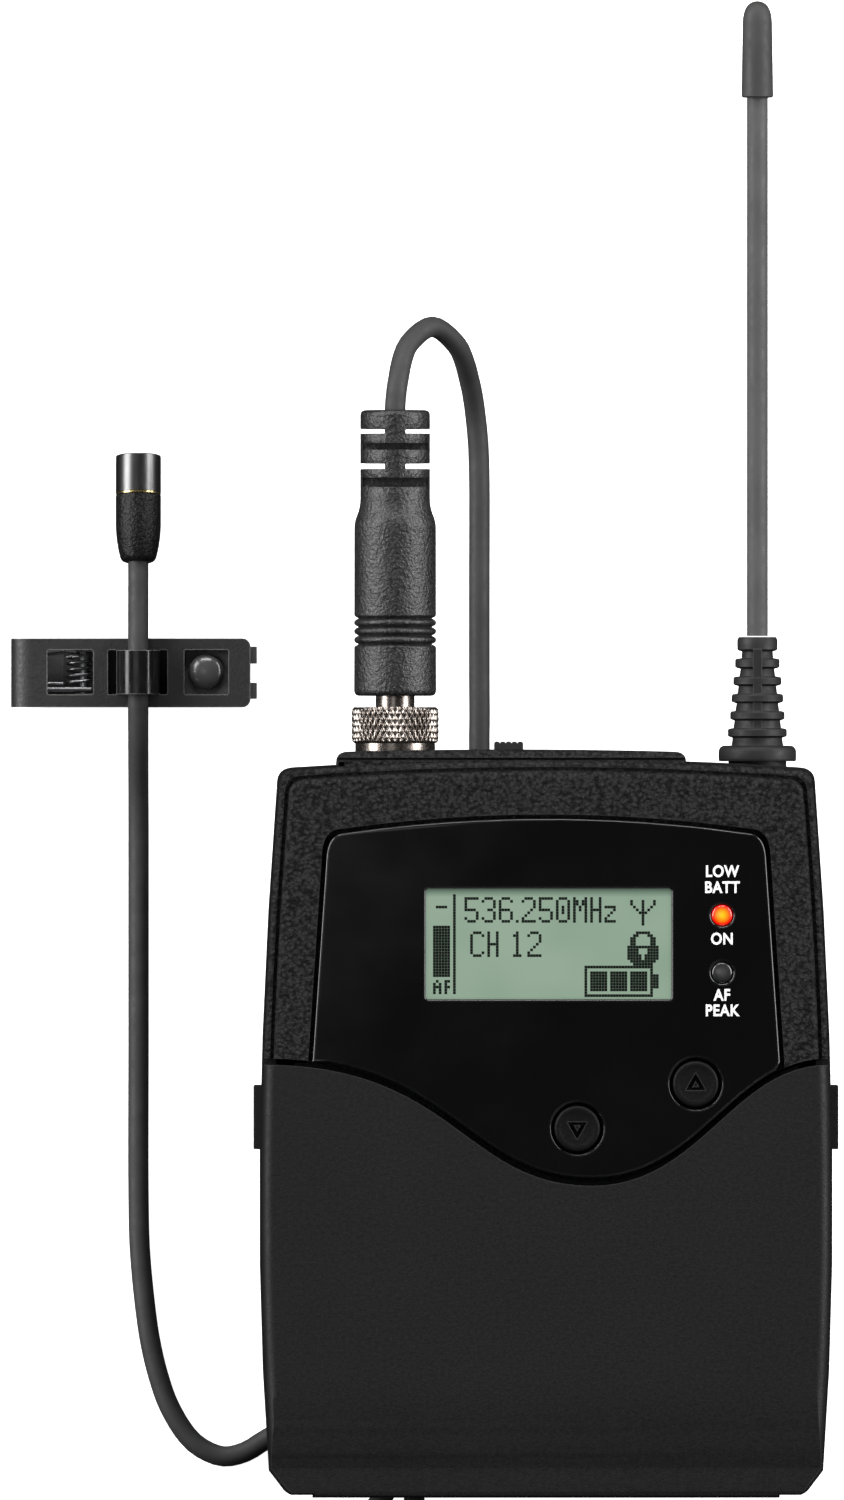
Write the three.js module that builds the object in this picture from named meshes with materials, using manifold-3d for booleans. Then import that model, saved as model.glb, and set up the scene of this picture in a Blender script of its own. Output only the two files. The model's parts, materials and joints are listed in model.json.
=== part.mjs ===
// Wireless bodypack transmitter with its clip-on microphone, lying on its back.
// Millimetres. X runs across the case, Y towards the aerial, Z out of the front face.
// The origin is under the middle of the case, on the flat outer face of the belt clip.

import * as THREE from 'three';
import { mergeVertices } from 'three/addons/utils/BufferGeometryUtils.js';
import Module from 'manifold-3d';

const wasm = await Module();
wasm.setup();

// ---------------------------------------------------------------- driving sizes

const GAP = 0.3;
const PAST = 1;
const ALL_X = [-40, 40];
const ALL_Y = [-50, 50];

const CASE = { back: 6, seam: 22, front: 29.6, wall: 1.6, floor: 7.8 };
const SIDE = { low: [30.5, -38], bulge: [32.95, -6], high: [29.6, 37.8] };
const BOTTOM = { flat: [26, -41], round: [28.2, -41], chamfer: [28.9, -40.1], step: [25.7, -40.7] };
const TOP = { corner: [29.5, 39.2], end: [28, 39.35], crown: 41.3 };
const WAVE = { shoulder: 7.4, dip: -5.9, dipX: 5, outer: 31, left: [-10, -9], right: [17, 20.5] };

const WINDOW = { low: [25.7, 7], high: [24.05, 31.3], crown: 35.3, round: 1.6, back: 28 };
const LCD = { x: [-13.2, 13.7], y: [13.9, 26], margin: 2 };
const LED = { x: 19.3, on: 23.1, peak: 16.8, radius: 1.05 };

const KEY = { radius: 2.5, groove: 3.05, top: 29.9, travel: 0.5, flange: 3.5 };
const KEYS = { up_button: [16.4, 4.6], down_button: [3.4, -0.3] };
const INNER_KEY = { radius: 2.2, flange: 2.9, top: 27.5 };
const INNER_KEYS = { set_button: [-21.5, -1.4], power_button: [-12.5, -3.4] };

const HINGE = {
  y: -37.4, z: 25.9, barrel: 3.6, pin: 0.8, bore: 0.95, half: 25.4, ear: 29, lug: 2.4, stem: 1.9,
};
const COVER_FRONT = 30;
const COVER_END = -39.2;

const CELL = { radius: 7.1, length: 50.4, z: 16.3, y: [-30, -15.2], nub: 2.6 };
const AXIS_Z = 17;

const JACK = { x: -16.6, thread: 2.95, bore: 1.95, clear: 3.3 };
const RING = { radius: 4.8, low: 42.2, high: 45.98, teeth: 36, cut: 0.32 };
const GRIP = { low: 47.2, high: 78.7, radius: 4.53, neck: 3.85, web: 1.15, core: 1.5 };

const AERIAL = { x: 23.3, rod: 1.16, tip: 113.1, end: 123.75 };

const CLIP = { half: 10, thick: 1, low: -22, y: 26, z: 3.8, knuckle: 1.9, pin: 0.8, bore: 0.9 };
const SCREWS = [[26.2, 33], [27, 10.8]];

const CORD = { radius: 1.15, sides: 8, coil: [-31, -62], outer: 17.7, inner: 8.5, low: 0.65, high: 9.85 };
const MIC = { x: -45, low: 61.9, tilt: -8, nose: 73.8, z: 2.75 };
const JAW = { y: [45.95, 53.6], plate: [3.4, 4.2], pivotX: -51, pivotZ: 1.9, mid: 49.8 };

// ---------------------------------------------------------------- materials

function look(color, roughness, metalness = 0) {
  return new THREE.MeshStandardMaterial({ color, roughness, metalness });
}

const LOOK = {
  grain: look(0x2b2b2b, 0.65),
  matte: look(0x28282a, 0.55),
  gloss: look(0x080808, 0.12),
  glass: look(0x9db8a0, 0.1),
  rubber: look(0x3f3f3f, 0.7),
  nickel: look(0xb8b8b4, 0.22, 1),
  steel: look(0x8f9194, 0.35, 1),
  gold: look(0xb8ae78, 0.25, 1),
  dark: look(0x55555a, 0.4, 1),
  board: look(0x1d4a2c, 0.5),
  cell: look(0x7a4a22, 0.35, 0.4),
  red: look(0xe0481c, 0.3),
  grey: look(0x8c8c8c, 0.4),
};

// ---------------------------------------------------------------- solid helpers

function solid(geometry) {
  const bare = geometry.clone();
  bare.deleteAttribute('normal');
  bare.deleteAttribute('uv');
  const merged = mergeVertices(bare, 1e-4);
  const corners = merged.index.array;
  const kept = [];
  for (let i = 0; i < corners.length; i += 3) {
    const [a, b, c] = corners.slice(i, i + 3);
    if (a !== b && b !== c && c !== a) kept.push(a, b, c);
  }
  return new wasm.Manifold(new wasm.Mesh({
    numProp: 3,
    vertProperties: Float32Array.from(merged.attributes.position.array),
    triVerts: Uint32Array.from(kept),
  }));
}

function geometryOf(body) {
  const mesh = body.getMesh();
  const geometry = new THREE.BufferGeometry();
  geometry.setAttribute('position', new THREE.BufferAttribute(mesh.vertProperties, 3));
  geometry.setIndex(new THREE.BufferAttribute(mesh.triVerts, 1));
  geometry.computeVertexNormals();
  return geometry;
}

function block([x0, x1], [y0, y1], [z0, z1]) {
  const box = new THREE.BoxGeometry(x1 - x0, y1 - y0, z1 - z0);
  return solid(box.translate((x0 + x1) / 2, (y0 + y1) / 2, (z0 + z1) / 2));
}

/** A round bar along 'x', 'y' or 'z' from one place to another, about a centre line. */
function bar(axis, radius, from, to, [a, b], sides = 24) {
  const round = new THREE.CylinderGeometry(radius, radius, to - from, sides);
  const middle = (from + to) / 2;
  if (axis === 'x') return solid(round.rotateZ(Math.PI / 2).translate(middle, a, b));
  if (axis === 'z') return solid(round.rotateX(Math.PI / 2).translate(a, b, middle));
  return solid(round.translate(a, middle, b));
}

/** A body turned about Y: the profile is [radius, y] pairs that start and end on the axis. */
function turned(profile, [x, z], sides = 24) {
  const points = profile.map(([radius, y]) => new THREE.Vector2(radius, y));
  return solid(new THREE.LatheGeometry(points, sides).translate(x, 0, z));
}

/** A flat shape drawn in X and Y, as a plate between two heights with soft edges. */
function plate(shape, low, high, bevel = 0, curveSegments = 6) {
  const geometry = new THREE.ExtrudeGeometry(shape, {
    depth: high - low - 2 * bevel,
    bevelEnabled: bevel > 0,
    bevelThickness: bevel,
    bevelSize: bevel,
    bevelOffset: -bevel,
    bevelSegments: 2,
    curveSegments,
  });
  return solid(geometry.translate(0, 0, low + bevel));
}

/** The section drawn in Y and Z, drawn out along X. */
function section(points, from, to) {
  const shape = new THREE.Shape(points.map(([y, z]) => new THREE.Vector2(y, z)));
  const geometry = new THREE.ExtrudeGeometry(shape, { depth: to - from, bevelEnabled: false });
  geometry.applyMatrix4(new THREE.Matrix4().set(0, 0, 1, from, 1, 0, 0, 0, 0, 1, 0, 0, 0, 0, 0, 1));
  return solid(geometry);
}

/** The section drawn in X and Z, drawn out along Y. */
function sideSection(shape, from, to, curveSegments = 6) {
  const geometry = new THREE.ExtrudeGeometry(shape, { depth: to - from, bevelEnabled: false, curveSegments });
  return solid(geometry.rotateX(Math.PI / 2).translate(0, to, 0));
}

function circle(radius, sides) {
  const shape = new THREE.Shape();
  for (let i = 0; i < sides; i += 1) {
    const angle = (2 * Math.PI * i) / sides;
    const point = [radius * Math.cos(angle), radius * Math.sin(angle)];
    if (i === 0) shape.moveTo(...point);
    else shape.lineTo(...point);
  }
  shape.closePath();
  return shape;
}

function tube(points, radius, sides, steps) {
  const places = points.map((point) => new THREE.Vector3(...point));
  const path = new THREE.CatmullRomCurve3(places, false, 'centripetal');
  return solid(new THREE.ExtrudeGeometry(circle(radius, sides), { steps, extrudePath: path }));
}

function helix(turns, radius, place) {
  const points = [];
  const perTurn = 10;
  for (let i = 0; i <= turns * perTurn; i += 1) {
    const angle = (2 * Math.PI * i) / perTurn;
    points.push(place(radius * Math.cos(angle), radius * Math.sin(angle), i / (turns * perTurn)));
  }
  return points;
}

function joined(solids) {
  return solids.reduce((whole, next) => whole.add(next));
}

// ---------------------------------------------------------------- outlines

/** The case seen from the front, drawn in from its outer edge. */
function caseOutline(inset) {
  const right = ([x, y]) => [x - inset, y - Math.sign(y) * inset];
  const left = (point) => [-right(point)[0], right(point)[1]];
  const shape = new THREE.Shape();
  shape.moveTo(...left(BOTTOM.flat));
  shape.lineTo(...right(BOTTOM.flat));
  shape.quadraticCurveTo(...right(BOTTOM.round), ...right(BOTTOM.chamfer));
  shape.lineTo(...right(SIDE.low));
  shape.quadraticCurveTo(...right(SIDE.bulge), ...right(SIDE.high));
  shape.quadraticCurveTo(...right(TOP.corner), ...right(TOP.end));
  shape.quadraticCurveTo(0, TOP.crown - inset, ...left(TOP.end));
  shape.quadraticCurveTo(...left(TOP.corner), ...left(SIDE.high));
  shape.quadraticCurveTo(...left(SIDE.bulge), ...left(SIDE.low));
  shape.lineTo(...left(BOTTOM.chamfer));
  shape.quadraticCurveTo(...left(BOTTOM.round), ...left(BOTTOM.flat));
  return shape;
}

/** Everything on the cover's side of its wavy top edge. */
function belowWave(rise, low, high) {
  const top = WAVE.shoulder + rise;
  const dip = WAVE.dip + rise;
  const past = WAVE.outer + 5;
  const shape = new THREE.Shape();
  shape.moveTo(-past, -past - 10);
  shape.lineTo(past, -past - 10);
  shape.lineTo(past, top);
  shape.lineTo(WAVE.outer, top);
  shape.bezierCurveTo(WAVE.right[1], top, WAVE.right[0], dip, WAVE.dipX, dip);
  shape.bezierCurveTo(WAVE.left[1], dip, WAVE.left[0], top, -WAVE.outer, top);
  shape.lineTo(-past, top);
  shape.closePath();
  return plate(shape, low, high, 0, 10);
}

/** The display window: narrower at the top, with a crowned top edge and round upper corners. */
function windowPlate(grow, low, high) {
  const [lowX, lowY] = [WINDOW.low[0] + grow, -10];
  const [highX, highY] = [WINDOW.high[0] + grow, WINDOW.high[1] + grow];
  const round = WINDOW.round;
  const shape = new THREE.Shape();
  shape.moveTo(-lowX, lowY);
  shape.lineTo(lowX, lowY);
  shape.lineTo(lowX, WINDOW.low[1]);
  shape.lineTo(highX, highY - round);
  shape.quadraticCurveTo(highX, highY + round / 2, highX - round, highY + round * 0.7);
  shape.quadraticCurveTo(0, WINDOW.crown + grow, round - highX, highY + round * 0.7);
  shape.quadraticCurveTo(-highX, highY + round / 2, -highX, highY - round);
  shape.lineTo(-lowX, WINDOW.low[1]);
  shape.closePath();
  return plate(shape, low, high, 0, 5);
}

// ---------------------------------------------------------------- the assembly

const group = new THREE.Group();

function part(name, material, body) {
  const mesh = new THREE.Mesh(geometryOf(body), material);
  mesh.name = name;
  group.add(mesh);
}

function bothSides(make) {
  make('left', -1);
  make('right', 1);
}

/** A block on one side of X = 0, given by how far out it starts and ends. */
function sideBlock(side, near, far, y, z) {
  return block(side > 0 ? [near, far] : [-far, -near], y, z);
}

// The rear shell: a tub with screw posts, windows for the sockets and latches, and two clip ears.

const POST = { radius: 2.1, top: 21.6, drill: 1.15, head: 1.9, headTop: 8.6, screw: 0.95 };
const LATCH = { y: [-2.7, 4.35], z: [12.8, 19.6], inner: 29.3, outer: 32.2, stop: 28.1 };
const PANEL = { x: [-23.1, 15.4], y: [39.2, 41], z: [9.5, 26] };
const SWITCH = { x: -4.1, stem: 0.7, travel: 2, half: 1.6, depth: 2.4, top: 42.2, teeth: 5 };
const CONTACT = { x: [22, 24.6], z: [11, 20], y: [-41, -40.4] };

function topPocket() {
  const [x0, x1] = PANEL.x;
  return block([x0 - GAP, x1 + GAP], [PANEL.y[0] - GAP, 45], [PANEL.z[0] - GAP, PANEL.z[1] + GAP]);
}

function rearShell() {
  const rise = CASE.seam + 2;
  const tub = plate(caseOutline(0), CASE.back, rise, 1.2);
  let shell = tub.subtract(plate(caseOutline(CASE.wall), CASE.floor, rise + PAST));
  for (const [x, y] of SCREWS) {
    for (const side of [-1, 1]) {
      shell = shell.add(bar('z', POST.radius, CASE.floor - 0.5, POST.top, [side * x, y], 16));
    }
  }
  for (const side of [-1, 1]) {
    const ear = sideBlock(side, CLIP.half + 0.4, CLIP.half + 2.4, [CLIP.y - 2.2, CLIP.y + 2.2], [2, 6.5]);
    shell = shell.add(ear);
  }
  shell = shell.subtract(block(ALL_X, ALL_Y, [CASE.seam, 40]));
  for (const side of [-1, 1]) {
    shell = shell.add(hingeLug(side));
    const corner = sideBlock(side, BOTTOM.step[0], ALL_X[1], [ALL_Y[0], BOTTOM.step[1]], [0, rise + PAST]);
    shell = shell.subtract(corner);
  }
  return cutRearShell(shell);
}

// A round ear on a narrow stem, inside the cover's rolled edge.
function hingeLug(side) {
  const [near, far] = [side * (HINGE.half + 0.5), side * HINGE.ear].sort((a, b) => a - b);
  const { y, z, ear, lug, stem } = HINGE;
  return bar('x', lug, near, far, [y, z], 24)
    .add(sideBlock(side, HINGE.half + 0.5, ear, [y - stem, y + stem], [CASE.seam - 4, z]));
}

function cutRearShell(whole) {
  let shell = whole.subtract(topPocket());
  shell = shell.subtract(bar('y', JACK.clear, 36, 45, [JACK.x, AXIS_Z]));
  shell = shell.subtract(bar('y', 2.35, 36, 45, [AERIAL.x, AXIS_Z], 16));
  shell = shell.subtract(switchSlot(36, 45));
  shell = shell.subtract(bar('x', CLIP.bore, -20, 20, [CLIP.y, CLIP.z], 16));
  shell = shell.subtract(bar('x', HINGE.bore, -40, 40, [HINGE.y, HINGE.z], 16));
  for (const side of [-1, 1]) {
    for (const [x, y] of SCREWS) {
      shell = shell.subtract(bar('z', POST.drill, 0, 30, [side * x, y], 12));
      shell = shell.subtract(bar('z', POST.head + GAP, 0, POST.headTop - 1, [side * x, y], 12));
    }
    shell = shell.subtract(sideBlock(side, 25, 40, [LATCH.y[0] - GAP, LATCH.y[1] + GAP],
      [LATCH.z[0] - GAP, LATCH.z[1] + GAP]));
    shell = shell.subtract(sideBlock(side, CONTACT.x[0] - GAP, CONTACT.x[1] + GAP, [-50, CONTACT.y[1] + GAP],
      [CONTACT.z[0] - GAP, CONTACT.z[1] + GAP]));
  }
  return shell;
}

function switchSlot(low, high) {
  const { x, stem, travel } = SWITCH;
  const reach = stem + GAP;
  return block([x - reach, x + travel + reach], [low, high], [AXIS_Z - reach, AXIS_Z + reach]);
}

part('rear_shell', LOOK.matte, rearShell());

// The front frame: the grained surround of the window, with its own screw posts.

function skin(front, outline = GAP) {
  const low = CASE.seam + GAP;
  const whole = plate(caseOutline(outline), low - 1.2, front, 1.2);
  const above = block(ALL_X, ALL_Y, [low, front + PAST]);
  const hollow = plate(caseOutline(outline + CASE.wall), low - PAST, front - CASE.wall);
  return whole.intersect(above).subtract(hollow);
}

function frontFrame() {
  let frame = skin(CASE.front);
  frame = frame.add(windowPlate(1.3, 26.6, 28.3).subtract(windowPlate(GAP, 27.7, 29)));
  for (const [x, y] of SCREWS) {
    for (const side of [-1, 1]) {
      frame = frame.add(bar('z', POST.radius, CASE.seam + GAP, 28.4, [side * x, y], 16));
    }
  }
  frame = frame.subtract(windowPlate(GAP, 27.7, 31));
  frame = frame.subtract(windowPlate(-1, 20, 31));
  frame = frame.subtract(belowWave(0, 20, 31));
  for (const [x, y] of SCREWS) {
    for (const side of [-1, 1]) {
      frame = frame.subtract(bar('z', POST.drill, 20, 26, [side * x, y], 12));
    }
  }
  return frame.subtract(topPocket());
}

part('front_frame', LOOK.grain, frontFrame());

// The top panel, with the jack's and the switch's openings.

function topPanel() {
  const [x0, x1] = PANEL.x;
  const [y0, y1] = PANEL.y;
  const end = 1.2;
  const outline = new THREE.Shape();
  outline.moveTo(x0, y0);
  outline.lineTo(x1, y0);
  outline.quadraticCurveTo(x1, y1, x1 - end, y1);
  outline.lineTo(x0 + end, y1);
  outline.quadraticCurveTo(x0, y1, x0, y0);
  return plate(outline, PANEL.z[0], PANEL.z[1])
    .subtract(bar('y', JACK.clear, 36, 45, [JACK.x, AXIS_Z]))
    .subtract(switchSlot(36, 45));
}

part('top_panel', LOOK.grain, topPanel());

// The display window, its pane, the display behind it and the two lamps.

function displayPanel() {
  let panel = windowPlate(0, WINDOW.back, CASE.front);
  panel = panel.subtract(belowWave(0.15, 20, 31));
  panel = panel.subtract(block(LCD.x, LCD.y, [20, 31]));
  for (const y of [LED.on, LED.peak]) {
    panel = panel.subtract(bar('z', LED.radius + 0.15, 20, 31, [LED.x, y], 16));
  }
  for (const [x, y] of Object.values(KEYS)) {
    panel = panel.subtract(bar('z', KEY.groove, 20, 31, [x, y]));
  }
  return panel;
}

part('display_panel', LOOK.gloss, displayPanel());

function lcdBlock(grow, low, high) {
  return block([LCD.x[0] - grow, LCD.x[1] + grow], [LCD.y[0] - grow, LCD.y[1] + grow], [low, high]);
}

part('lcd_window', LOOK.glass, lcdBlock(-GAP / 2, 28.4, 29.5));
part('lcd_module', LOOK.glass, lcdBlock(LCD.margin, 24.1, 27.6)
  .intersect(block([-16, 16], [11, 27.9], [20, 30])));

const LAMPS = { led_on: [LED.on, LOOK.red], led_peak: [LED.peak, LOOK.grey] };
for (const [name, [y, material]] of Object.entries(LAMPS)) {
  part(name, material, bar('z', LED.radius, 24.1, CASE.front + 0.1, [LED.x, y], 16));
}

// Circuit boards and the plate under the cover's wings.

const BOARD = { display: [22.6, 23.8], main: [11, 12.6], plate: [24.4, 26] };

part('display_board', LOOK.board, block([-23.5, 23.5], [-2.5, 30.5], BOARD.display)
  .intersect(plate(caseOutline(4), 20, 30)).subtract(belowWave(1, 20, 30)));

function mainBoard() {
  let board = block([-26.4, 26.4], [-6.8, 37], BOARD.main);
  for (const [x, y] of SCREWS) {
    for (const side of [-1, 1]) {
      board = board.subtract(bar('z', POST.radius + GAP, 5, 30, [side * x, y], 16));
    }
  }
  board = board.add(block([-12, 12], [4, 24], [BOARD.main[1] - 0.1, 15.2]));
  return board.subtract(bar('y', 4.5, 20, 40, [AERIAL.x, AXIS_Z], 12));
}

part('main_board', LOOK.board, mainBoard());

function controlPlate() {
  const fill = plate(caseOutline(3.6), BOARD.plate[0], BOARD.plate[1]);
  let board = fill.intersect(belowWave(-GAP, 20, 30)).intersect(block([-40, 40], [-7.6, 20], [20, 30]));
  for (const [x, y] of Object.values(INNER_KEYS)) {
    board = board.subtract(bar('z', INNER_KEY.radius + 0.25, 20, 30, [x, y]));
  }
  return board.subtract(block([22.6, 27.4], [-3.4, 1.4], [20, 30]));
}

part('control_plate', LOOK.matte, controlPlate());
part('ir_window', LOOK.gloss, block([22.9, 27.1], [-3.1, 1.1], [24.4, 26.4]));

// Buttons: each cap has a flange that its own plate holds in.

function cap(radius, flange, ledge, top, [x, y]) {
  const low = ledge - KEY.travel - 1.1;
  return bar('z', radius, low, top, [x, y]).add(bar('z', flange, low, ledge - 0.3, [x, y]));
}

for (const [name, place] of Object.entries(KEYS)) {
  part(name, LOOK.gloss, cap(KEY.radius, KEY.flange, WINDOW.back, KEY.top, place));
  const [x, y] = place;
  part(name.replace('button', 'switch'), LOOK.steel, block([x - 3, x + 3], [y - 1.8, y + 1.8], [24.1, 25.5]));
}
for (const [name, place] of Object.entries(INNER_KEYS)) {
  const top = INNER_KEY.top;
  part(name, LOOK.rubber, cap(INNER_KEY.radius, INNER_KEY.flange, BOARD.plate[0], top, place));
}

// Batteries, their tray, springs and contacts.

const END = { plate: [27.5, 27.9], springFrom: 25.9, wall: [28.1, 28.7] };

function batteryTray() {
  const [low, high] = [-35, -7.9];
  const walls = [-1, 1].map((side) => sideBlock(side, ...END.wall, [low, high], [8.2, 20]));
  let tray = joined([block([-28.2, 28.2], [low, high], [8.2, 9]), ...walls]);
  tray = tray.intersect(plate(caseOutline(CASE.wall + GAP), 8, 21));
  return tray.add(block([-20, 20], [-22.9, -22.3], [8.8, 11]));
}

part('battery_tray', LOOK.matte, batteryTray());

/** One cell: a can with a small contact nub at the end that side points to. */
function cell(side, y) {
  const half = CELL.length / 2;
  const can = bar('x', CELL.radius, -half + 0.7, half - 0.7, [y, CELL.z]);
  const nub = side > 0 ? [half - 0.8, half + 0.2] : [-half - 0.2, 0.8 - half];
  return can.add(bar('x', CELL.nub, ...nub, [y, CELL.z], 16));
}

function batterySpring(side, y) {
  const [near, far] = [END.springFrom - 1, END.plate[0] - 0.45];
  const place = (a, b, t) => [side * (near + (far - near) * t), y + a, CELL.z + b];
  return tube(helix(2, 2.4, place), 0.28, 5, 36);
}

const CELLS = { battery_lower: [1, CELL.y[0]], battery_upper: [-1, CELL.y[1]] };
for (const [name, [side, y]] of Object.entries(CELLS)) {
  part(name, LOOK.cell, cell(side, y));
}
part('battery_spring_left', LOOK.nickel, batterySpring(-1, CELL.y[0]));
part('battery_spring_right', LOOK.nickel, batterySpring(1, CELL.y[1]));

bothSides((word, side) => {
  const sheet = sideBlock(side, ...END.plate, [CELL.y[0] - 4, CELL.y[1] + 4], [12, 20]);
  const nubY = side > 0 ? CELL.y[0] : CELL.y[1];
  const [near, far] = [25.8, END.plate[1]];
  const bump = bar('x', 2, ...(side > 0 ? [near, far] : [-far, -near]), [nubY, CELL.z], 12);
  part(`contact_plate_${word}`, LOOK.nickel, sheet.add(bump));
});

// The battery cover, hinged at the bottom of the case.

function batteryCover() {
  const flat = skin(COVER_FRONT).intersect(belowWave(-GAP, 20, 31));
  const barrel = bar('x', HINGE.barrel, -HINGE.half, HINGE.half, [HINGE.y, HINGE.z], 28);
  const middle = block([-HINGE.half, HINGE.half], [-50, HINGE.y], [20, 31]);
  let cover = flat.subtract(middle).add(barrel)
    .add(block([-HINGE.half, HINGE.half], [HINGE.y - 0.5, HINGE.y + 2], [28.4, HINGE.z + HINGE.barrel]))
    .subtract(bar('x', HINGE.bore, -40, 40, [HINGE.y, HINGE.z], 16));
  for (const side of [-1, 1]) {
    const [near, far] = [side * HINGE.half, side * 40].sort((a, b) => a - b);
    cover = cover.subtract(sideBlock(side, HINGE.half, 40, [-50, -33.9], [20, 28.2]))
      .subtract(sideBlock(side, HINGE.half, 40, [-50, COVER_END], [20, 31]))
      .subtract(bar('x', HINGE.lug + GAP, near, far, [HINGE.y, HINGE.z], 28));
  }
  return cover;
}

part('battery_cover', LOOK.matte, batteryCover());
part('cover_hinge_pin', LOOK.steel, bar('x', HINGE.pin, -28.4, 28.4, [HINGE.y, HINGE.z], 16));

// Side latches that let the cover go.

bothSides((word, side) => {
  const pad = sideBlock(side, LATCH.stop, LATCH.outer, LATCH.y, LATCH.z);
  const [y0, y1] = LATCH.y;
  const [z0, z1] = LATCH.z;
  const stop = sideBlock(side, LATCH.stop, LATCH.inner, [y0 - 1, y1 + 1], [z0 - 1, z1 + 1]);
  const hook = sideBlock(side, LATCH.stop, LATCH.inner - 0.2, [y0 + 1.5, y1 - 1.5], [z1, 24.1]);
  part(`latch_${word}`, LOOK.matte, joined([pad, stop, hook]));
});

// The jack, its nut, the mute switch and the charging contacts.

part('jack_socket', LOOK.nickel, block([-21, -12.2], [28, 37.8], [AXIS_Z - 3.9, AXIS_Z + 3.9])
  .add(bar('y', JACK.thread, 37, 44.3, [JACK.x, AXIS_Z]))
  .subtract(bar('y', JACK.bore, 29, 50, [JACK.x, AXIS_Z])));
part('jack_nut', LOOK.nickel, bar('y', 4.35, 41.3, 41.95, [JACK.x, AXIS_Z])
  .subtract(bar('y', JACK.thread + 0.25, 40, 43, [JACK.x, AXIS_Z])));

function muteSwitch() {
  const { x, half, depth, top, stem, teeth } = SWITCH;
  let knob = block([x - half, x + half], [PANEL.y[1] + GAP, top], [AXIS_Z - depth, AXIS_Z + depth]);
  const pitch = (2 * half) / teeth;
  for (let i = 1; i < teeth; i += 1) {
    knob = knob.subtract(bar('z', 0.22, 0, 40, [x - half + i * pitch, top], 8));
  }
  return knob.add(block([x - stem, x + stem], [37.8, 41.5], [AXIS_Z - stem, AXIS_Z + stem]));
}

part('mute_switch', LOOK.matte, muteSwitch());
part('mute_switch_body', LOOK.steel, block([-8, 2], [32.4, 37.5], [AXIS_Z - 2.6, AXIS_Z + 2.6]));

bothSides((word, side) => {
  part(`charge_contact_${word}`, LOOK.gold, sideBlock(side, ...CONTACT.x, CONTACT.y, CONTACT.z));
});

// The aerial: a ribbed boot, a flexible rod and a moulded tip.

const BOOT_RINGS = [
  [3.25, 42.7, 43.6], [3, 44.6, 45.5], [2.85, 46.5, 47.4], [2.65, 48.4, 49.3], [2.45, 50.3, 51.3],
];

function aerialBoot() {
  const core = [[0, 37.2], [2.1, 37.2], [2.1, 40], [4.28, 40], [4.28, 41.3], [3.9, 41.7], [2.85, 41.7]];
  for (const [radius, low, high] of BOOT_RINGS) {
    const inner = 2.85 - 1.15 * ((low - 41.7) / 10);
    core.push([inner, low], [radius, low], [radius, high], [inner - 0.1, high]);
  }
  core.push([1.7, 52.2], [2.22, 52.2], [2.22, 53.5], [2, 53.7], [0, 53.7]);
  const web = block([AERIAL.x - 0.5, AERIAL.x + 0.5], [41.5, 52.4], [AXIS_Z - 2.3, AXIS_Z + 2.3]);
  return turned(core, [AERIAL.x, AXIS_Z], 20).add(web);
}

part('antenna_boot', LOOK.rubber, aerialBoot());
part('antenna_rod', LOOK.rubber, bar('y', AERIAL.rod, 54, AERIAL.tip - GAP, [AERIAL.x, AXIS_Z], 12));
part('antenna_tip', LOOK.rubber, turned([[0, AERIAL.tip], [1.75, AERIAL.tip], [1.65, 122.4], [1.35, 123.3],
  [0.8, AERIAL.end], [0, AERIAL.end]], [AERIAL.x, AXIS_Z], 16));

// Case screws, driven from the back into the front frame's posts.

let screwNumber = 0;
for (const [x, y] of SCREWS) {
  for (const side of [-1, 1]) {
    screwNumber += 1;
    part(`case_screw_${screwNumber}`, LOOK.steel, bar('z', POST.screw, 7, 25.4, [side * x, y], 12)
      .add(bar('z', POST.head, 6.1, 7.3, [side * x, y], 12)));
  }
}

// The belt clip, a sprung plate on a pin between two ears.

function beltClip() {
  const { half, thick, low, y, z, knuckle, bore } = CLIP;
  const top = [[low, 0], [y + 1.6, 0], [y + knuckle, z], [y - knuckle, z], [y - 3.4, thick]];
  const lip = [[low + 3, thick], [low + 0.4, thick + 1.2], [low - 0.4, thick + 0.7]];
  const strip = section([...top, ...lip], -half, half);
  return strip.add(bar('x', knuckle, -half, half, [y, z], 20))
    .subtract(bar('x', bore, -20, 20, [y, z], 16));
}

part('belt_clip', LOOK.steel, beltClip());
part('belt_clip_pin', LOOK.steel,
  bar('x', CLIP.pin, -CLIP.half - 2.2, CLIP.half + 2.2, [CLIP.y, CLIP.z], 16));

// The plug: pin, sleeve, knurled lock ring and moulded grip with a slotted strain relief.

const PLUG_TIP = [[0, 29.4], [1, 29.8], [1.7, 31.4], [1.4, 32.4], [1.72, 33.2], [1.72, 44.6], [0, 44.6]];

part('plug_pin', LOOK.gold, turned(PLUG_TIP, [JACK.x, AXIS_Z], 16));
part('plug_sleeve', LOOK.nickel, bar('y', 2.15, 44.9, 46.9, [JACK.x, AXIS_Z], 20));

function lockRing() {
  const { radius, low, high, teeth, cut } = RING;
  const shape = new THREE.Shape();
  for (let i = 0; i < 2 * teeth; i += 1) {
    const angle = (Math.PI * i) / teeth;
    const reach = i % 2 ? radius : radius - cut;
    const point = [JACK.x + reach * Math.cos(angle), AXIS_Z + reach * Math.sin(angle)];
    if (i === 0) shape.moveTo(...point);
    else shape.lineTo(...point);
  }
  shape.closePath();
  return sideSection(shape, low, high)
    .subtract(bar('y', JACK.thread + 0.25, low - PAST, 44.7, [JACK.x, AXIS_Z]))
    .subtract(bar('y', 2.4, 40, high + PAST, [JACK.x, AXIS_Z]));
}

part('lock_ring', LOOK.nickel, lockRing());

const GRIP_RIBS = [52.9, 53.85, 54.8, 55.75];
const SIDE_NOTCHES = [[72.2, 72.8], [76.1, 76.6]];
const FRONT_SLOTS = [[70.2, 71.2], [74.3, 75]];

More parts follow.
